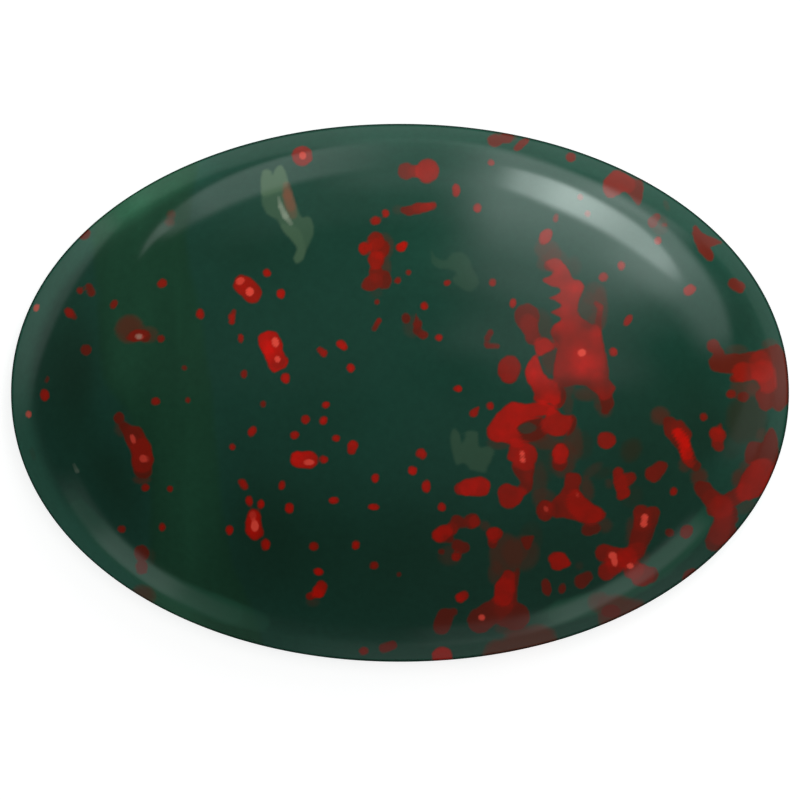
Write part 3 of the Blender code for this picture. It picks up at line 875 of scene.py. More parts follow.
class Measure:
    """How far inside its class of marks each point lies, in millimetres, and minus that outside. Also how
    much of what lies under them is left clear by the marks: the product of one minus the cover of each.
    Down the stone's side a share of the depth counts as distance from every mark."""

    def __init__(self, points, depth, far_out):
        self.x, self.y = points[:, 0], points[:, 1]
        self.depth = depth
        self.far_out = far_out
        self.value = np.full(len(points), far_out)
        self.clear = np.ones(len(points))

    def near(self, low, high, wide=0.0):
        """The points in this box, with room for the measure to fall to its lowest."""
        room = ROOM + wide - self.far_out
        inside = (self.x > low[0] - room) & (self.x < high[0] + room)
        inside &= (self.y > low[1] - room) & (self.y < high[1] + room)
        return np.nonzero(inside)[0]

    def merge(self, index, value, cover):
        """Joins one mark to those so far, at the points with these numbers."""
        old = self.value[index]
        self.value[index] = np.where(value > self.far_out, flow_together(old, value), old)
        self.clear[index] *= 1 - cover

    def add_spots(self, spots):
        """Ovals, each by its own measure."""
        for x, y, along, across, lean, cover in spots:
            index = self.near((x, y), (x, y), max(along, across))
            value = oval_measure(self.x[index] - x, self.y[index] - y, self.depth[index], along, across, lean)
            self.merge(index, value, cover * built_up(value))

    def add_streaks(self, streaks):
        """Along each piece between two dabs, the radius, middle and cover go straight from one to the other.
        With d the distance to that middle and r the radius there: r squared less d squared, over 2 r."""
        for streak in streaks:
            dabs = np.array(streak)
            index = self.near(dabs.min(axis=0), dabs.max(axis=0), dabs[:, 2].max())
            value = np.full(len(index), self.far_out)
            cover = np.zeros(len(index))
            for start, end in zip(dabs[:-1], dabs[1:]):
                step = end - start
                dx, dy = self.x[index] - start[0], self.y[index] - start[1]
                place = np.clip((dx * step[0] + dy * step[1]) / (step[:2] @ step[:2]), 0, 1)
                radius = start[2] + step[2] * place
                off = (dx - step[0] * place) ** 2 + (dy - step[1] * place) ** 2 + self.depth[index] ** 2
                piece = (radius**2 - off) / (2 * radius)
                value = flow_together(value, piece)
                cover = np.maximum(cover, (start[3] + step[3] * place) * built_up(piece))
            self.merge(index, value, cover)

    def add_patches(self, patches):
        """The distance to the closed curve, positive inside it, less the square of the depth."""
        for cover, points in patches:
            curve = closed_curve(np.array(points))
            index = self.near(curve.min(axis=0), curve.max(axis=0))
            value = curve_distance(self.x[index], self.y[index], curve) - self.depth[index] ** 2
            self.merge(index, value, cover * built_up(value))


def oval_shares(dx, dy, along, across, lean):
    """The distances from an oval's middle along its two half axes, over those."""
    c, s = math.cos(math.radians(lean)), math.sin(math.radians(lean))
    return (dx * c + dy * s) / along, (dy * c - dx * s) / across


def oval_measure(dx, dy, depth, along, across, lean):
    """With u and v the distances along the half axes a and b, over a and b: one minus the sum of their
    squares and of the squared depth over ab, times half the square root of ab."""
    u, v = oval_shares(dx, dy, along, across, lean)
    mean = math.sqrt(along * across)
    return (1 - u**2 - v**2 - (depth / mean) ** 2) * mean / 2


def closed_curve(points, steps=4):
    """A smooth closed curve through the points: on each piece, the cubic whose slope at either end is half
    the way from the point before to the point after."""
    t = np.arange(steps)[None, :, None] / steps
    p0, p1, p2, p3 = (np.roll(points, shift, axis=0)[:, None, :] for shift in (1, 0, -1, -2))
    curve = p1 + 0.5 * t * (p2 - p0 + t * (2 * p0 - 5 * p1 + 4 * p2 - p3 + t * (3 * (p1 - p2) + p3 - p0)))
    return curve.reshape(-1, 2)


def curve_distance(x, y, curve):
    """The distance from each point to a closed chain of straight pieces, positive inside."""
    nearest = np.full(len(x), np.inf)
    inside = np.zeros(len(x), dtype=bool)
    for (ax, ay), (bx, by) in zip(curve, np.roll(curve, -1, axis=0)):
        ex, ey = bx - ax, by - ay
        place = np.clip(((x - ax) * ex + (y - ay) * ey) / max(ex**2 + ey**2, 1e-12), 0, 1)
        nearest = np.minimum(nearest, (x - ax - ex * place) ** 2 + (y - ay - ey * place) ** 2)
        crosses = (ay > y) != (by > y)
        if ey != 0:
            inside ^= crosses & (x < ax + ex * (y - ay) / ey)
    distance = np.sqrt(nearest)
    return np.where(inside, distance, -distance)


def soft_clouds(x, y, clouds):
    """For each cloud, its last value and its share at each point: with u and v the distances along its half
    axes, over those, e to the minus (u squared plus v squared)."""
    for middle_x, middle_y, along, across, lean, value in clouds:
        u, v = oval_shares(x - middle_x, y - middle_y, along, across, lean)
        yield value, np.exp(-(u**2) - v**2)


# Every class of marks: its patches, its streaks, its spots, and its lowest measure.
MARK_CLASSES = {
    "red": (RED_PATCHES, RED_STREAKS, RED_SPOTS, FAR_OUT),
    "brown": (BROWN_PATCHES, (), BROWN_SPOTS, FAR_OUT),
    "olive": ((), (), OLIVE_VEIL, FAR_OUT),
    "pink_glint": ((), (), PINK_GLINTS, FAR_OUT),
    "pale_wisp": (WISP_PATCHES, (), (), FAR_OUT),
    "white_streak_and_glint": ((), WHITE_STREAKS_AND_GLINT, (), FAR_OUT),
    "salmon": ((), SALMON_STREAKS, (), FAR_OUT),
    "warm_green": (WARM_GREEN_PATCHES, (), (), GROUND_FAR_OUT),
    "painted_glow_green": ((), PAINTED_GLOW_STREAKS, (), GROUND_FAR_OUT),
}


def store_markings(mesh, points, size):
    """Works out every class of marks at every point and stores it on the mesh."""
    x, y = points[:, 0], points[:, 1]
    power = size.outline_power
    radius = (np.abs(x / HALF_LENGTH) ** power + np.abs(y / HALF_WIDTH) ** power) ** (1 / power)
    safe = np.clip(radius, 1e-6, None)
    rate_x, rate_y = radius_growth(x / safe, y / safe, power)
    reach = 1 / np.hypot(rate_x, rate_y).clip(1e-6)
    dome = dome_height(np.clip(radius, 0, 1), reach, size)
    depth = np.clip(dome - points[:, 2], 0, None) * DEPTH_SHARE

    stored = {"from_rim": (1 - radius) * reach}
    for name, (patches, streaks, spots, far_out) in MARK_CLASSES.items():
        measure = Measure(points, depth, far_out)
        measure.add_patches(patches)
        measure.add_streaks(streaks)
        measure.add_spots(spots)
        stored[name] = measure.value
        stored[name + "_cover"] = 1 - measure.clear
    for middle_x, middle_y, along, across, lean in RED_GAPS:
        gap = oval_measure(x - middle_x, y - middle_y, depth, along, across, lean)
        stored["red"] = np.minimum(stored["red"], -gap)
    for added, share in soft_clouds(x, y, RED_CLOUDS):
        stored["red_cover"] += added * share
    stored["red_cover"] = np.clip(stored["red_cover"], 0, 1)
    stored["green_cloud_and_shade"] = np.ones(len(x))
    for gain, share in soft_clouds(x, y, GREEN_CLOUDS_AND_SHADE):
        stored["green_cloud_and_shade"] *= 1 + (gain - 1) * share
    for name, value in stored.items():
        attribute = mesh.attributes.new(name, "FLOAT", "POINT")
        attribute.data.foreach_set("value", value.astype(np.float32))


# Materials.

SMOOTH = {"interpolation_type": "SMOOTHSTEP"}
# Painted shade: the dark line at the dome's edge is darkened colour for the contact shadow that the edge
# mirrors.
EDGE_SHADE_START = 1.2  # height in millimetres, just under the dome, below which the dark line at its edge ends
EDGE_SHADE_END = 1.32  # height above which the line is at its full strength


def linear(hex_colour):
    """An sRGB hex colour as linear red, green and blue."""
    parts = [int(hex_colour[k : k + 2], 16) / 255 for k in (1, 3, 5)]
    return tuple(part / 12.92 if part <= 0.04045 else ((part + 0.055) / 1.055) ** 2.4 for part in parts)


def empty_tree(owner):
    """Turns on the nodes of a material or world, and gives its tree with nothing in it."""
    owner.use_nodes = True
    owner.node_tree.nodes.clear()
    return owner.node_tree


def add_node(tree, kind, inputs=(), **settings):
    """Adds a shader node and sets its properties. Its sockets are filled in their order, or by name or number
    from a dict, with values, with other nodes' outputs, or with nodes, which stand for their first output."""
    node = tree.nodes.new("ShaderNode" + kind)
    for name, value in settings.items():
        setattr(node, name, value)
    for name, value in inputs.items() if isinstance(inputs, dict) else enumerate(inputs):
        if isinstance(value, bpy.types.Node):
            value = value.outputs[0]
        if isinstance(value, bpy.types.NodeSocket):
            tree.links.new(value, node.inputs[name])
        else:
            node.inputs[name].default_value = value
    return node


def lay_marks(tree, under, place, name, tint, edge, strength, ruffle, grain, cover=None, inset=0.0):
    """Lays one class of marks over the colour so far. Its measure, ruffled by a fine noise of this grain in
    millimetres, goes through a smooth step, whose middle is this far inset and which reaches the edge's width
    to either side. That, times the strength and the cover that is stored for the class, is the tint's share.
    Gives the new colour and the share."""
    stored = add_node(tree, "Attribute", attribute_name=name).outputs["Fac"]
    noise = add_node(tree, "TexNoise", {"Vector": place, "Scale": 1 / grain, "Detail": 2.0, "Roughness": 0.5})
    shift = add_node(tree, "Math", (noise, 2 * ruffle, -ruffle), operation="MULTIPLY_ADD")
    measure = add_node(tree, "Math", (stored, shift), operation="ADD")
    inside = add_node(tree, "MapRange", (measure, inset - edge, inset + edge, 0.0, strength), **SMOOTH)
    if cover is None:
        cover = add_node(tree, "Attribute", attribute_name=name + "_cover").outputs["Fac"]
    share = add_node(tree, "Math", (inside, cover), operation="MULTIPLY")
    mixed = add_node(tree, "Mix", {0: share, 6: under, 7: (*tint, 1.0)}, data_type="RGBA")
    return mixed.outputs[2], share


def green_ground(tree, place, colours):
    """The green of the chalcedony: clouds, the warm band, the broad clouds stored on the mesh, the darker of
    which are painted shade, fine mottling, and a thin rim made brighter as painted light. Gives its colour,
    and how bright the painted shade of the dark line at the very edge leaves it."""
    # Clouds of lighter and darker green, about 5 mm across.
    clouds = add_node(tree, "TexNoise", {"Vector": place, "Scale": 1 / 5.0, "Detail": 3.0})
    cloud_share = add_node(tree, "MapRange", (clouds, 0.3, 0.7, 0.0, 0.7), **SMOOTH)
    greens = {0: cloud_share, 6: (*colours.green, 1.0), 7: (*colours.deep_green, 1.0)}
    ground = add_node(tree, "Mix", greens, data_type="RGBA").outputs[2]

    ground, warmth = lay_marks(tree, ground, place, "warm_green", colours.warm_green, 0.3, 1.0, 0.2, 1.2)
    # Drawn-out streaks along Y in the warm band, half a millimetre to a millimetre wide.
    drawn_out = add_node(tree, "VectorMath", (place, (1 / 0.9, 1 / 7.0, 1 / 7.0)), operation="MULTIPLY")
    streaks = add_node(tree, "TexNoise", {"Vector": drawn_out, "Scale": 1.0, "Detail": 2.0})
    streak_gain = add_node(tree, "MapRange", (streaks, 0.25, 0.75, 0.93, 1.07))
    warm_gain = add_node(tree, "Mix", {0: warmth, 2: 1.0, 3: streak_gain}, data_type="FLOAT")

    # Fine mottling, about a third of a millimetre, as the grain of moss-like inclusions.
    mottle = add_node(tree, "TexNoise", {"Vector": place, "Scale": 1 / 0.35, "Detail": 4.0, "Roughness": 0.6})
    mottle_gain = add_node(tree, "MapRange", (mottle, 0.25, 0.75, 0.92, 1.08))

    # Painted light: the thin rim lets light through, and its green is made brighter for it, most of all at
    # the left end. The very edge is darkened to a thin dark line: painted shade for the contact shadow beside
    # the stone, which the edge mirrors.
    axes = add_node(tree, "SeparateXYZ", (place,))
    from_rim = add_node(tree, "Attribute", attribute_name="from_rim").outputs["Fac"]
    across = (axes.outputs["X"], -11.5, -8.5, colours.painted_left_rim_glow, colours.painted_rim_glow)
    rim_glow_across = add_node(tree, "MapRange", across, **SMOOTH)
    rim_glow_gain = add_node(tree, "MapRange", (from_rim, 0.6, 1.4, rim_glow_across, 1.0), **SMOOTH)
    # Painted shade: within a tenth of a millimetre of the outline the colour is darkened to a thin dark line.
    painted_edge_shade = add_node(tree, "MapRange", (from_rim, 0.03, 0.09, 0.35, 1.0), **SMOOTH)

    # Where a broad cloud paints shade, its green is also a little browner.
    gain = add_node(tree, "Attribute", attribute_name="green_cloud_and_shade").outputs["Fac"]
    dusk = add_node(tree, "MapRange", (gain, 0.65, 1.0, 0.0, 1.0), **SMOOTH)
    tints = {0: dusk, 6: (1.1, 1.0, 0.92, 1.0), 7: (1.0, 1.0, 1.0, 1.0)}
    dusk_tint = add_node(tree, "Mix", tints, data_type="RGBA").outputs[2]
    ground = add_node(tree, "VectorMath", (ground, dusk_tint), operation="MULTIPLY")
    for factor in (warm_gain, mottle_gain, rim_glow_gain):
        gain = add_node(tree, "Math", (gain, factor), operation="MULTIPLY")
    return add_node(tree, "VectorMath", {0: ground, "Scale": gain}, operation="SCALE"), painted_edge_shade


def red_marks(tree, under, place, colours):
    """Iron oxide over the green: a dark, buried red first, then a mottled bright red as far as the cover
    goes, which starts a little further in. Gives the colour and the red's share."""
    cover = add_node(tree, "Attribute", attribute_name="red_cover").outputs["Fac"]
    buried = (cover, 0.15, colours.buried_strength)
    density = add_node(tree, "Math", buried, operation="MULTIPLY_ADD", use_clamp=True)
    under, share = lay_marks(tree, under, place, "red", colours.buried_red, 0.07, 1.0, 0.08, 0.45, density)
    blotches = add_node(tree, "TexNoise", {"Vector": place, "Scale": 1 / 0.8, "Detail": 4.0})
    unevenness = add_node(tree, "Math", (blotches, 1.2, 0.4), operation="MULTIPLY_ADD")
    vivid = add_node(tree, "Math", (cover, unevenness), operation="MULTIPLY", use_clamp=True)
    red, _ = lay_marks(tree, under, place, "red", colours.bright_red, 0.07, 1.0, 0.08, 0.45, vivid, 0.03)
    return red, share


def underside_spots(tree, under, place, colours):
    """Red spots on the base and its bevel, where no photograph shows any: in each cell about 2.6 mm wide one
    round spot, whose size comes from the cell's own number. Gives the colour."""
    cells = add_node(tree, "TexVoronoi", {"Vector": place, "Scale": 1 / 2.6}, voronoi_dimensions="3D")
    number = add_node(tree, "SeparateColor", (cells.outputs["Color"],))
    radius = add_node(tree, "MapRange", (number, 0.3, 1.0, 0.0, 0.27))
    ruffle = add_node(tree, "TexNoise", {"Vector": place, "Scale": 1 / 0.7, "Detail": 2.0})
    uneven = add_node(tree, "Math", (ruffle, 0.12, -0.06), operation="MULTIPLY_ADD")
    reach = add_node(tree, "Math", (radius, uneven), operation="ADD")
    inside = add_node(tree, "Math", (reach, cells.outputs["Distance"]), operation="SUBTRACT")
    spot = add_node(tree, "MapRange", (inside, -0.02, 0.02, 0.0, 0.9), **SMOOTH)
    height = add_node(tree, "SeparateXYZ", (place,)).outputs["Z"]
    below = add_node(tree, "MapRange", (height, 0.05, 0.35, 1.0, 0.0), **SMOOTH)
    share = add_node(tree, "Math", (spot, below), operation="MULTIPLY")
    reds = {0: number.outputs[1], 6: (*colours.buried_red, 1.0), 7: (*colours.bright_red, 1.0)}
    tint = add_node(tree, "Mix", reds, data_type="RGBA").outputs[2]
    return add_node(tree, "Mix", {0: share, 6: under, 7: tint}, data_type="RGBA").outputs[2]


def polished_bloodstone(colours):
    """Bloodstone: green chalcedony with spots of red iron oxide, domed on a wheel and polished with oxide.
    The eye sees a dark, slightly uneven green with crisp red spots under a hard, glassy gloss; the girdle is
    satin from the fine wheel, and the lapped base is dull, with faint scratches."""
    material = bpy.data.materials.new("Bloodstone_Oxide_Polished")
    tree = empty_tree(material)
    in_metres = add_node(tree, "TexCoord").outputs["Object"]
    place = add_node(tree, "VectorMath", {0: in_metres, "Scale": 1 / MM}, operation="SCALE")
    height = add_node(tree, "SeparateXYZ", (place,)).outputs["Z"]

    # A layer is its class of marks, its colour, its edge, its strength, and the height and grain of its
    # ruffles, in millimetres.
    under_the_red = (
        # painted light along the arcs where the reflectors at the lower left and right are mirrored
        ("painted_glow_green", colours.painted_glow_green, 0.22, 0.62, 0.08, 1.0),
        ("olive", colours.olive, 0.32, 0.8, 0.12, 0.5),
        ("pale_wisp", colours.wisp, 0.12, 1.0, 0.06, 0.3),
        ("salmon", colours.salmon, 0.18, 0.75, 0.03, 0.3),
        ("brown", colours.brown, 0.26, 0.85, 0.12, 0.5),
    )
    over_the_red = (
        # painted highlights: the pink glints on the bright spots
        ("pink_glint", colours.pink, 0.06, 0.95, 0.03, 0.25),
        # whitish streaks, and one painted glint on a red blotch
        ("white_streak_and_glint", colours.white_streak_and_glint, 0.12, 0.8, 0.02, 0.2),
    )
    ground, painted_edge_shade = green_ground(tree, place, colours)
    for layer in under_the_red:
        ground, _ = lay_marks(tree, ground, place, *layer)
    ground, red_share = red_marks(tree, ground, place, colours)
    for layer in over_the_red:
        ground, _ = lay_marks(tree, ground, place, *layer)
    ground = underside_spots(tree, ground, place, colours)

    # The painted shade of the dark line lies on the dome only, above the girdle.
    on_dome = add_node(tree, "MapRange", (height, EDGE_SHADE_START, EDGE_SHADE_END, 0.0, 1.0), **SMOOTH)
    edge_shade_gain = add_node(tree, "Mix", {0: on_dome, 2: 1.0, 3: painted_edge_shade}, data_type="FLOAT")
    ground = add_node(tree, "VectorMath", {0: ground, "Scale": edge_shade_gain}, operation="SCALE")

    # Polished above the girdle's top, satin on the girdle, duller on the base. The oxide of the red spots is
    # softer than the green and takes a slightly lower polish.
    satin = add_node(tree, "MapRange", (height, 0.02, 1.5, 0.46, 0.07), **SMOOTH)
    smears = add_node(tree, "TexNoise", {"Vector": place, "Scale": 1 / 2.5, "Detail": 3.0})
    uneven = add_node(tree, "Math", (smears, 0.03, satin), operation="MULTIPLY_ADD")
    roughness = add_node(tree, "Math", (red_share, 0.02, uneven), operation="MULTIPLY_ADD")

    # Lap scratches on the base and the satin girdle, drawn about three times as wide as real ones.
    lap_place = add_node(tree, "VectorMath", (place, (1 / 0.07, 1 / 5.0, 1 / 5.0)), operation="MULTIPLY")
    laps = add_node(tree, "TexNoise", {"Vector": lap_place, "Scale": 1.0, "Detail": 2.0})
    unpolished = add_node(tree, "MapRange", (height, 0.0, 1.3, 0.35, 0.0), **SMOOTH)
    scratches = add_node(tree, "Bump", {"Strength": unpolished, "Distance": 0.0016 * MM, "Height": laps})
    # The hand-held dome is never quite even: it rises and falls by a few thousandths of a millimetre.
    swell = add_node(tree, "TexNoise", {"Vector": place, "Scale": 1 / 4.0, "Detail": 1.0})
    waves = {"Strength": 1.0, "Distance": 0.006 * MM, "Height": swell, "Normal": scratches}
    wavy = add_node(tree, "Bump", waves)

    skin = {"Base Color": ground, "Metallic": 0.0, "Roughness": roughness, "IOR": 1.54, "Normal": wavy}
    shader = add_node(tree, "BsdfPrincipled", skin)
    add_node(tree, "OutputMaterial", {"Surface": shader})
    return material


# The piece, the stage and the add-on.


class StoneSize(bpy.types.PropertyGroup):
    """The shape that the part's own source gives the stone, and how finely it is divided."""

    outline_power: FloatProperty(
        name="Outline power",
        description="2 is a true ellipse, and more is squarer",
        default=2.05,
        min=1.5,
        max=4.0,
    )
    girdle_top: FloatProperty(
        name="Girdle top",
        description="Height at which the upright girdle ends and the dome starts",
        default=0.0013,
        min=0.0,
        subtype="DISTANCE",
        unit="LENGTH",
    )
    base_bevel: FloatProperty(
        name="Base bevel",
        description="Size of the 45 degree cut round the underside",
        default=0.0004,
        min=0.0,
        subtype="DISTANCE",
        unit="LENGTH",
    )
    shoulder_power: FloatProperty(
        name="Shoulder power",
        description="Fall of the dome from its crown to its shoulder",
        default=2.6,
        min=1.0,
    )
    shoulder_round: FloatProperty(
        name="Shoulder rounding",
        description="Power that turns the shoulder down to the girdle",
        default=0.6,
        min=0.1,
    )
    lip: FloatProperty(
        name="Lip",
        description="Under 1, the dome meets the girdle at a slope",
        default=0.94,
        min=0.5,
        max=0.999,
    )
    crown_share: FloatProperty(
        name="Crown share",
        description="Share of the rise that is a plain paraboloid",
        default=0.3,
        min=0.0,
        max=1.0,
        subtype="FACTOR",
    )
    rings: IntProperty(
        name="Rings",
        description="Rings of the dome's grid from its middle to its rim",
        default=140,
        min=8,
        max=150,
    )


def colour_property(name, description, hex_colour):
    """A colour setting whose default is this sRGB hex colour."""
    return FloatVectorProperty(
        name=name,
        description=description,
        default=linear(hex_colour),
        size=3,
        min=0.0,
        max=1.0,
        subtype="COLOR",
    )


class StoneColours(bpy.types.PropertyGroup):
    """The colours of the stone and of its marks."""

    green: colour_property("Green", "The ground of green chalcedony", "#1E4639")
    deep_green: colour_property("Deep green", "The darker clouds of the ground", "#1B4033")
    warm_green: colour_property("Warm green", "The lighter, yellower band on the left", "#1D4330")
    # Painted light: the green glow along the arcs where the lower reflectors are mirrored.
    painted_glow_green: colour_property("Painted glow green", "Where low light shines into the stone", "#2A5F49")
    # Painted light: how much the rim's colour, and that at the left end, is brightened for the light coming
    # through.
    painted_rim_glow: FloatProperty(
        name="Painted rim glow",
        description="How much brighter the green is at the thin, translucent rim",
        default=1.2,
        min=1.0,
    )
    painted_left_rim_glow: FloatProperty(
        name="Painted left rim glow",
        description="The same at the left end, where light comes through from the paper",
        default=1.8,
        min=1.0,
    )
    olive: colour_property("Olive", "Thin brown veils over the green", "#33301F")
    wisp: colour_property("Wisp", "Pale green wisps", "#587256")
    # Also the colour of one painted glint on a red blotch.
    white_streak_and_glint: colour_property("White streak and glint", "Whitish streaks in the wisps", "#A8B09C")
    salmon: colour_property("Salmon", "A flush of thin red beside them", "#8A4C38")
    brown: colour_property("Brown", "Red that lies deep and looks brown", "#602A1C")
    buried_red: colour_property("Buried red", "Red that is thinly covered", "#6C1B0E")
    buried_strength: FloatProperty(
        name="Buried strength",
        description="How much the thinly covered red hides the green",
        default=0.88,
        min=0.0,
        max=1.0,
        subtype="FACTOR",
    )
    bright_red: colour_property("Bright red", "Iron oxide at the surface", "#E21307")
    # Painted highlight: the colour of the pale pink glints on the bright spots.
    pink: colour_property("Pink", "Pale cores of the bright spots", "#FF5242")


class StudioSettings(bpy.types.PropertyGroup):
    """The plain studio round the stone."""

    camera_distance: FloatProperty(
        name="Camera distance",
        description="From the girdle up to the lens",
        default=1.2,
        min=0.1,
        unit="LENGTH",
    )
    view_width: FloatProperty(
        name="View width",
        description="Width of what the camera sees at the girdle",
        default=0.04,
        unit="LENGTH",
    )
    view_shift: FloatProperty(
        name="View middle",
        description="How far the view's middle lies below the stone's",
        default=0.00036,
        unit="LENGTH",
    )
    key_strength: FloatProperty(name="Key", description="Strength of the softboxes", default=1.07, min=0.0)
    fill_strength: FloatProperty(
        name="Fill",
        description="Power in watts of the overhead panel, unseen in the polish",
        default=3.0,
        min=0.0,
    )
    side_strength: FloatProperty(
        name="Side",
        description="Power in watts of the panel at the upper right, unseen in the polish",
        default=1.3,
        min=0.0,
    )
    glow: FloatProperty(name="Glow", description="Light that comes through the paper", default=0.78, min=0.0)
    paper: colour_property("Paper", "The paper under the stone", "#BABABA")


class BLOODSTONE_OT_cabochon(bpy.types.Operator):
    """Build the polished stone with its markings"""

    bl_idname = "bloodstone.cabochon"
    bl_label = "Build the stone"

    def execute(self, context):
        size = context.scene.bloodstone_size
        points, quads, fan = stone_surface(size)
        mesh = mesh_from_faces("bloodstone_cabochon", points * MM, quads, fan)
        store_markings(mesh, points, size)
        mesh.materials.append(polished_bloodstone(context.scene.bloodstone_colours))
        stone = bpy.data.objects.new("bloodstone_cabochon", mesh)
        context.scene.collection.objects.link(stone)
        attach(stone, "root")
        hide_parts(NODE)
        return {"FINISHED"}


# Lights that the polish mirrors. Each has its middle as an azimuth from +X towards +Y and an angle from
# straight up, its half width and half height, how much it climbs and bends along its width, how much its
# height flares and pinches, how soft its left, right, upper and lower edges are, all in degrees, and its
# brightness. The paper under the stone is mirrored as the last ones.
SOFTBOXES = (
    # azimuth, polar, half width, half height, climb, bend, flare, pinch, left, right, upper, lower, bright
    # the large softbox at the upper right, brighter towards its right end
    (61.2, 75.2, 16.4, 7.3, 0.37, 0, 0.12, 0.0086, 5, 2.25, 2, 1.75, 2.9),
    (67.5, 77.2, 5, 7.4, 0.37, 0, 0.1, 0.0086, 7, 3, 2.5, 1.75, 2.7),
    # its glow through the diffuser and on the wall round it
    (50, 72.5, 32.5, 15.5, 0.235, 0, 0.235, 0, 7, 5, 8, 3.75, 0.8),
    (61.5, 70.2, 18.5, 23.2, 0.235, 0, 0.235, 0, 8, 4, 8, 3.75, 0.68),
    (58, 93, 9, 6, 0, 0, 0, 0, 5, 5, 3, 4, 0.75),
    (57, 59, 25, 26, 0, 0, 0, 0, 12, 6, 10, 8, 0.4),
    (49, 62.5, 9, 7.5, 0, 0, 0, 0, 5, 5, 5, 5, 0.5),
    (88, 86, 9, 16, 0, 0, 0, 0, 4, 5, 8, 6, 0.35),
    (62, 42, 16, 12, 0, 0, 0, 0, 9, 9, 8, 8, 0.4),
    (40, 22, 35, 12, 0, 0, 0, 0, 12, 12, 5, 9, 0.33),
    # the softbox at the upper left, with a bright seam
    (105.5, 86.35, 10, 9.82, -0.436, -0.006, -0.118, 0.008, 7, 3, 2.5, 2, 0.92),
    (118.9, 79.43, 4.2, 6.6, -0.604, -0.006, -0.342, 0.008, 3, 2.5, 2.5, 2, 0.55),
    (125.5, 76.3, 4.4, 1.9, -0.9, -0.045, -0.33, 0, 1.2, 3, 0.8, 0.7, 0.95),
    (97, 66, 15, 12, 0, 0, 0, 0, 7, 10, 6, 6, 0.13),
    # the reflector at the lower left
    (-130, 91.4, 20, 8, 0.36, 0, 0, 0, 6, 8, 3, 3, 0.2),
    (-126, 94.5, 8.5, 8.5, 0.35, 0, 0, 0, 4, 3, 2, 2, 0.36),
    # the reflector at the lower right
    (-59, 90.5, 15, 7, -0.42, 0, 0, 0, 5, 4, 3, 3, 0.45),
    (-65, 93, 6, 6, -0.42, 0, 0, 0, 4, 4, 3, 3, 0.12),
    (-79, 96.5, 9, 8.5, 0, 0, 0, 0, 3, 3, 3, 3, 0.13),
    # the pale wall at the right
    (-8, 84, 14, 11, 0.3, 0, 0, 0, 6, 6, 4, 3, 0.22),
    (-7, 108, 12, 11, 0, 0, 0, 0, 6, 6, 3, 5, 0.14),
    (20, 90, 16, 12, 0, 0, 0, 0, 6, 6, 3, 4, 0.04),
    # a little more light in the upper left and the lower right of the room
    (135, 60, 45, 60, 0, 0, 0, 0, 12, 12, 12, 12, 0.03),
    (-45, 60, 45, 60, 0, 0, 0, 0, 12, 12, 12, 12, 0.03),
    # the paper
    (153, 102.8, 25, 15.5, -0.134, 0.0134, 0, 0, 3, 17, 2.5, 25, 0.36),
    (62, 141, 62, 40, 0, 0, 0, 0, 8, 4, 2.5, 1, 0.22),
    (86, 141, 26, 40, 0, 0, 0, 0, 6, 6, 3, 1, 0.08),
    (-74, 141, 24, 40, 0, 0, 0, 0, 8, 8, 4, 1, 0.1),
    (0, 140, 190, 50, 0, 0, 0, 0, 1, 1, 6, 1, 0.04),
)
AMBIENT = 0.02  # brightness of the dark air between the lights
LIGHT_TINT = (0.87, 1.0, 0.96, 1.0)
BACKDROP = (0.9, 0.9, 0.9, 1.0)  # the plain paper where the camera looks past the floor
SHADOW_START, SHADOW_END = 122.5, 124.5  # degrees from straight up, between which the shadow begins
SHADOW_LEFT = 0.1  # share of the paper's light that is left in the stone's shadow
FLOOR_HALF = 3.0  # half the floor's side, in metres
PANEL_DISTANCE = 0.8  # from the stone to the area lights, in metres
SENSOR_WIDTH = 36.0  # of the camera, in millimetres


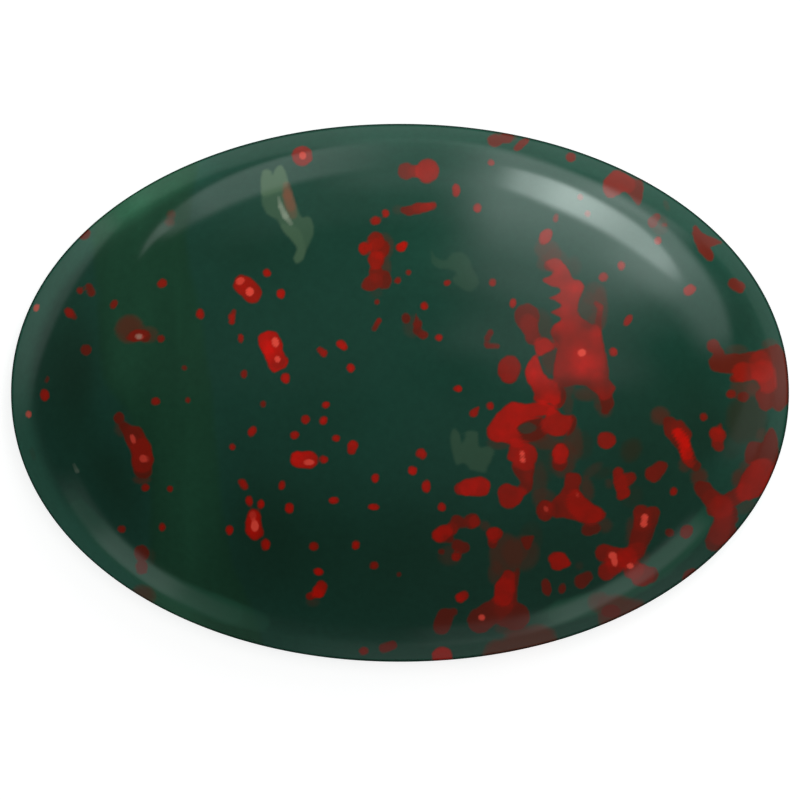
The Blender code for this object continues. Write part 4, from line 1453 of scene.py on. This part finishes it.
def studio_world(strength):
    """Dark air with soft boxes in it, and plain pale paper where the camera looks past the floor."""
    world = bpy.data.worlds.new("Studio")
    tree = empty_tree(world)
    parts = add_node(tree, "SeparateXYZ", (add_node(tree, "TexCoord").outputs["Generated"],))
    turn = add_node(tree, "Math", (parts.outputs["Y"], parts.outputs["X"]), operation="ARCTAN2")
    azimuth = add_node(tree, "Math", (turn,), operation="DEGREES")
    fall = add_node(tree, "Math", (parts.outputs["Z"],), operation="ARCCOSINE")
    polar = add_node(tree, "Math", (fall,), operation="DEGREES")
    total = add_node(tree, "Math", (AMBIENT, strength), operation="MULTIPLY")
    for middle, height, wide, high, climb, bend, flare, pinch, left, right, upper, lower, bright in SOFTBOXES:
        turned = add_node(tree, "Math", (azimuth, middle), operation="SUBTRACT")
        along = add_node(tree, "Math", (turned, 180.0, -180.0), operation="WRAP")
        slope = add_node(tree, "Math", (along, bend, climb), operation="MULTIPLY_ADD")
        axis = add_node(tree, "Math", (along, slope, height), operation="MULTIPLY_ADD")
        down = add_node(tree, "Math", (polar, axis), operation="SUBTRACT")
        growth = add_node(tree, "Math", (along, -pinch, flare), operation="MULTIPLY_ADD")
        reach = add_node(tree, "Math", (along, growth, high), operation="MULTIPLY_ADD")
        below = add_node(tree, "Math", (down, reach), operation="ADD")
        above = add_node(tree, "Math", (reach, down), operation="SUBTRACT")
        # An edge is what is measured, where it lies, how soft it is, and the light before and after it.
        edges = (
            (along, -wide, left, 0.0, 1.0),
            (along, wide, right, 1.0, 0.0),
            (below, 0.0, upper, 0.0, 1.0),
            (above, 0.0, lower, 0.0, 1.0),
        )
        steps = [
            add_node(tree, "MapRange", (value, place - soft, place + soft, before, after), **SMOOTH)
            for value, place, soft, before, after in edges
        ]
        share = steps[0]
        for step in steps[1:]:
            share = add_node(tree, "Math", (share, step), operation="MULTIPLY")
        total = add_node(tree, "Math", (share, bright * strength, total), operation="MULTIPLY_ADD")
    # The paper right beside the stone lies in its shadow, and the rim mirrors it as a thin dark outline.
    shadow = add_node(tree, "MapRange", (polar, SHADOW_START, SHADOW_END, 1.0, SHADOW_LEFT), **SMOOTH)
    total = add_node(tree, "Math", (total, shadow), operation="MULTIPLY")
    air = add_node(tree, "Background", {"Color": LIGHT_TINT, "Strength": total})
    paper = add_node(tree, "Background", {"Color": BACKDROP, "Strength": 1.0})
    seen = add_node(tree, "LightPath").outputs["Is Camera Ray"]
    mixed = add_node(tree, "MixShader", (seen, air, paper))
    add_node(tree, "OutputWorld", {"Surface": mixed})
    return world


def backlit_paper(colour, glow):
    """Matt paper on a lit table: it takes soft shadows, and what glows through it is bright to the eye."""
    material = bpy.data.materials.new("Paper_Matt_Backlit")
    tree = empty_tree(material)
    matt = add_node(tree, "BsdfDiffuse", {"Color": (*colour, 1.0)})
    light = add_node(tree, "Emission", {"Strength": glow})
    both = add_node(tree, "AddShader", (matt, light))
    add_node(tree, "OutputMaterial", {"Surface": both})
    return material


class BLOODSTONE_OT_stage(bpy.types.Operator):
    """Build the plain floor, the soft lights and the camera"""

    bl_idname = "bloodstone.stage"
    bl_label = "Build the studio"

    def execute(self, context):
        studio = context.scene.bloodstone_studio
        scene = context.scene
        signs = ((-1, -1), (1, -1), (1, 1), (-1, 1))
        corners = [(x * FLOOR_HALF, y * FLOOR_HALF, 0.0) for x, y in signs]
        mesh = bpy.data.meshes.new("floor")
        mesh.from_pydata(corners, [], [(0, 1, 2, 3)])
        mesh.materials.append(backlit_paper(studio.paper, studio.glow))
        floor = bpy.data.objects.new("floor", mesh)
        floor.visible_glossy = False
        scene.collection.objects.link(floor)

        scene.world = studio_world(studio.key_strength)

        # name, power, azimuth and angle from straight up in degrees, and width in metres
        panels = (
            ("overhead_panel", studio.fill_strength, 0.0, 0.0, 1.0),
            ("side_panel", studio.side_strength, 62.0, 62.0, 0.7),
        )
        for name, power, azimuth, polar, width in panels:
            light = bpy.data.lights.new(name, "AREA")
            light.shape = "DISK"
            light.size = width
            light.energy = power
            panel = bpy.data.objects.new(name, light)
            turn, lean = math.radians(azimuth), math.radians(polar)
            aim = (math.sin(lean) * math.cos(turn), math.sin(lean) * math.sin(turn), math.cos(lean))
            panel.location = [PANEL_DISTANCE * part for part in aim]
            panel.rotation_euler = (0.0, lean, turn)
            panel.visible_glossy = False
            panel.visible_camera = False
            scene.collection.objects.link(panel)

        camera = bpy.data.cameras.new("camera")
        camera.sensor_width = SENSOR_WIDTH
        camera.lens = camera.sensor_width * studio.camera_distance / studio.view_width
        viewer = bpy.data.objects.new("camera", camera)
        girdle = scene.bloodstone_size.girdle_top
        viewer.location = (0.0, -studio.view_shift, girdle + studio.camera_distance)
        scene.collection.objects.link(viewer)
        scene.camera = viewer
        scene.view_settings.view_transform = "Standard"
        return {"FINISHED"}


class BLOODSTONE_PT_panel(bpy.types.Panel):
    """The stone and its studio, in the order in which they are built"""

    bl_idname = "BLOODSTONE_PT_panel"
    bl_label = "Bloodstone"
    bl_space_type = "VIEW_3D"
    bl_region_type = "UI"
    bl_category = "Bloodstone"

    def draw(self, context):
        groups = (
            (context.scene.bloodstone_size, StoneSize),
            (context.scene.bloodstone_colours, StoneColours),
            (context.scene.bloodstone_studio, StudioSettings),
        )
        for settings, group in groups:
            box = self.layout.box()
            for name in group.__annotations__:
                box.prop(settings, name)
        for operator in OPERATORS:
            self.layout.operator(operator.bl_idname)


OPERATORS = (BLOODSTONE_OT_cabochon, BLOODSTONE_OT_stage)
CLASSES = (StoneSize, StoneColours, StudioSettings, *OPERATORS, BLOODSTONE_PT_panel)


def register():
    for item in CLASSES:
        bpy.utils.register_class(item)
    bpy.types.Scene.bloodstone_size = PointerProperty(type=StoneSize)
    bpy.types.Scene.bloodstone_colours = PointerProperty(type=StoneColours)
    bpy.types.Scene.bloodstone_studio = PointerProperty(type=StudioSettings)


def unregister():
    del bpy.types.Scene.bloodstone_studio
    del bpy.types.Scene.bloodstone_colours
    del bpy.types.Scene.bloodstone_size
    for item in reversed(CLASSES):
        bpy.utils.unregister_class(item)


def main():
    register()
    bpy.ops.bloodstone.cabochon()
    bpy.ops.bloodstone.stage()


if __name__ == "__main__":
    main()
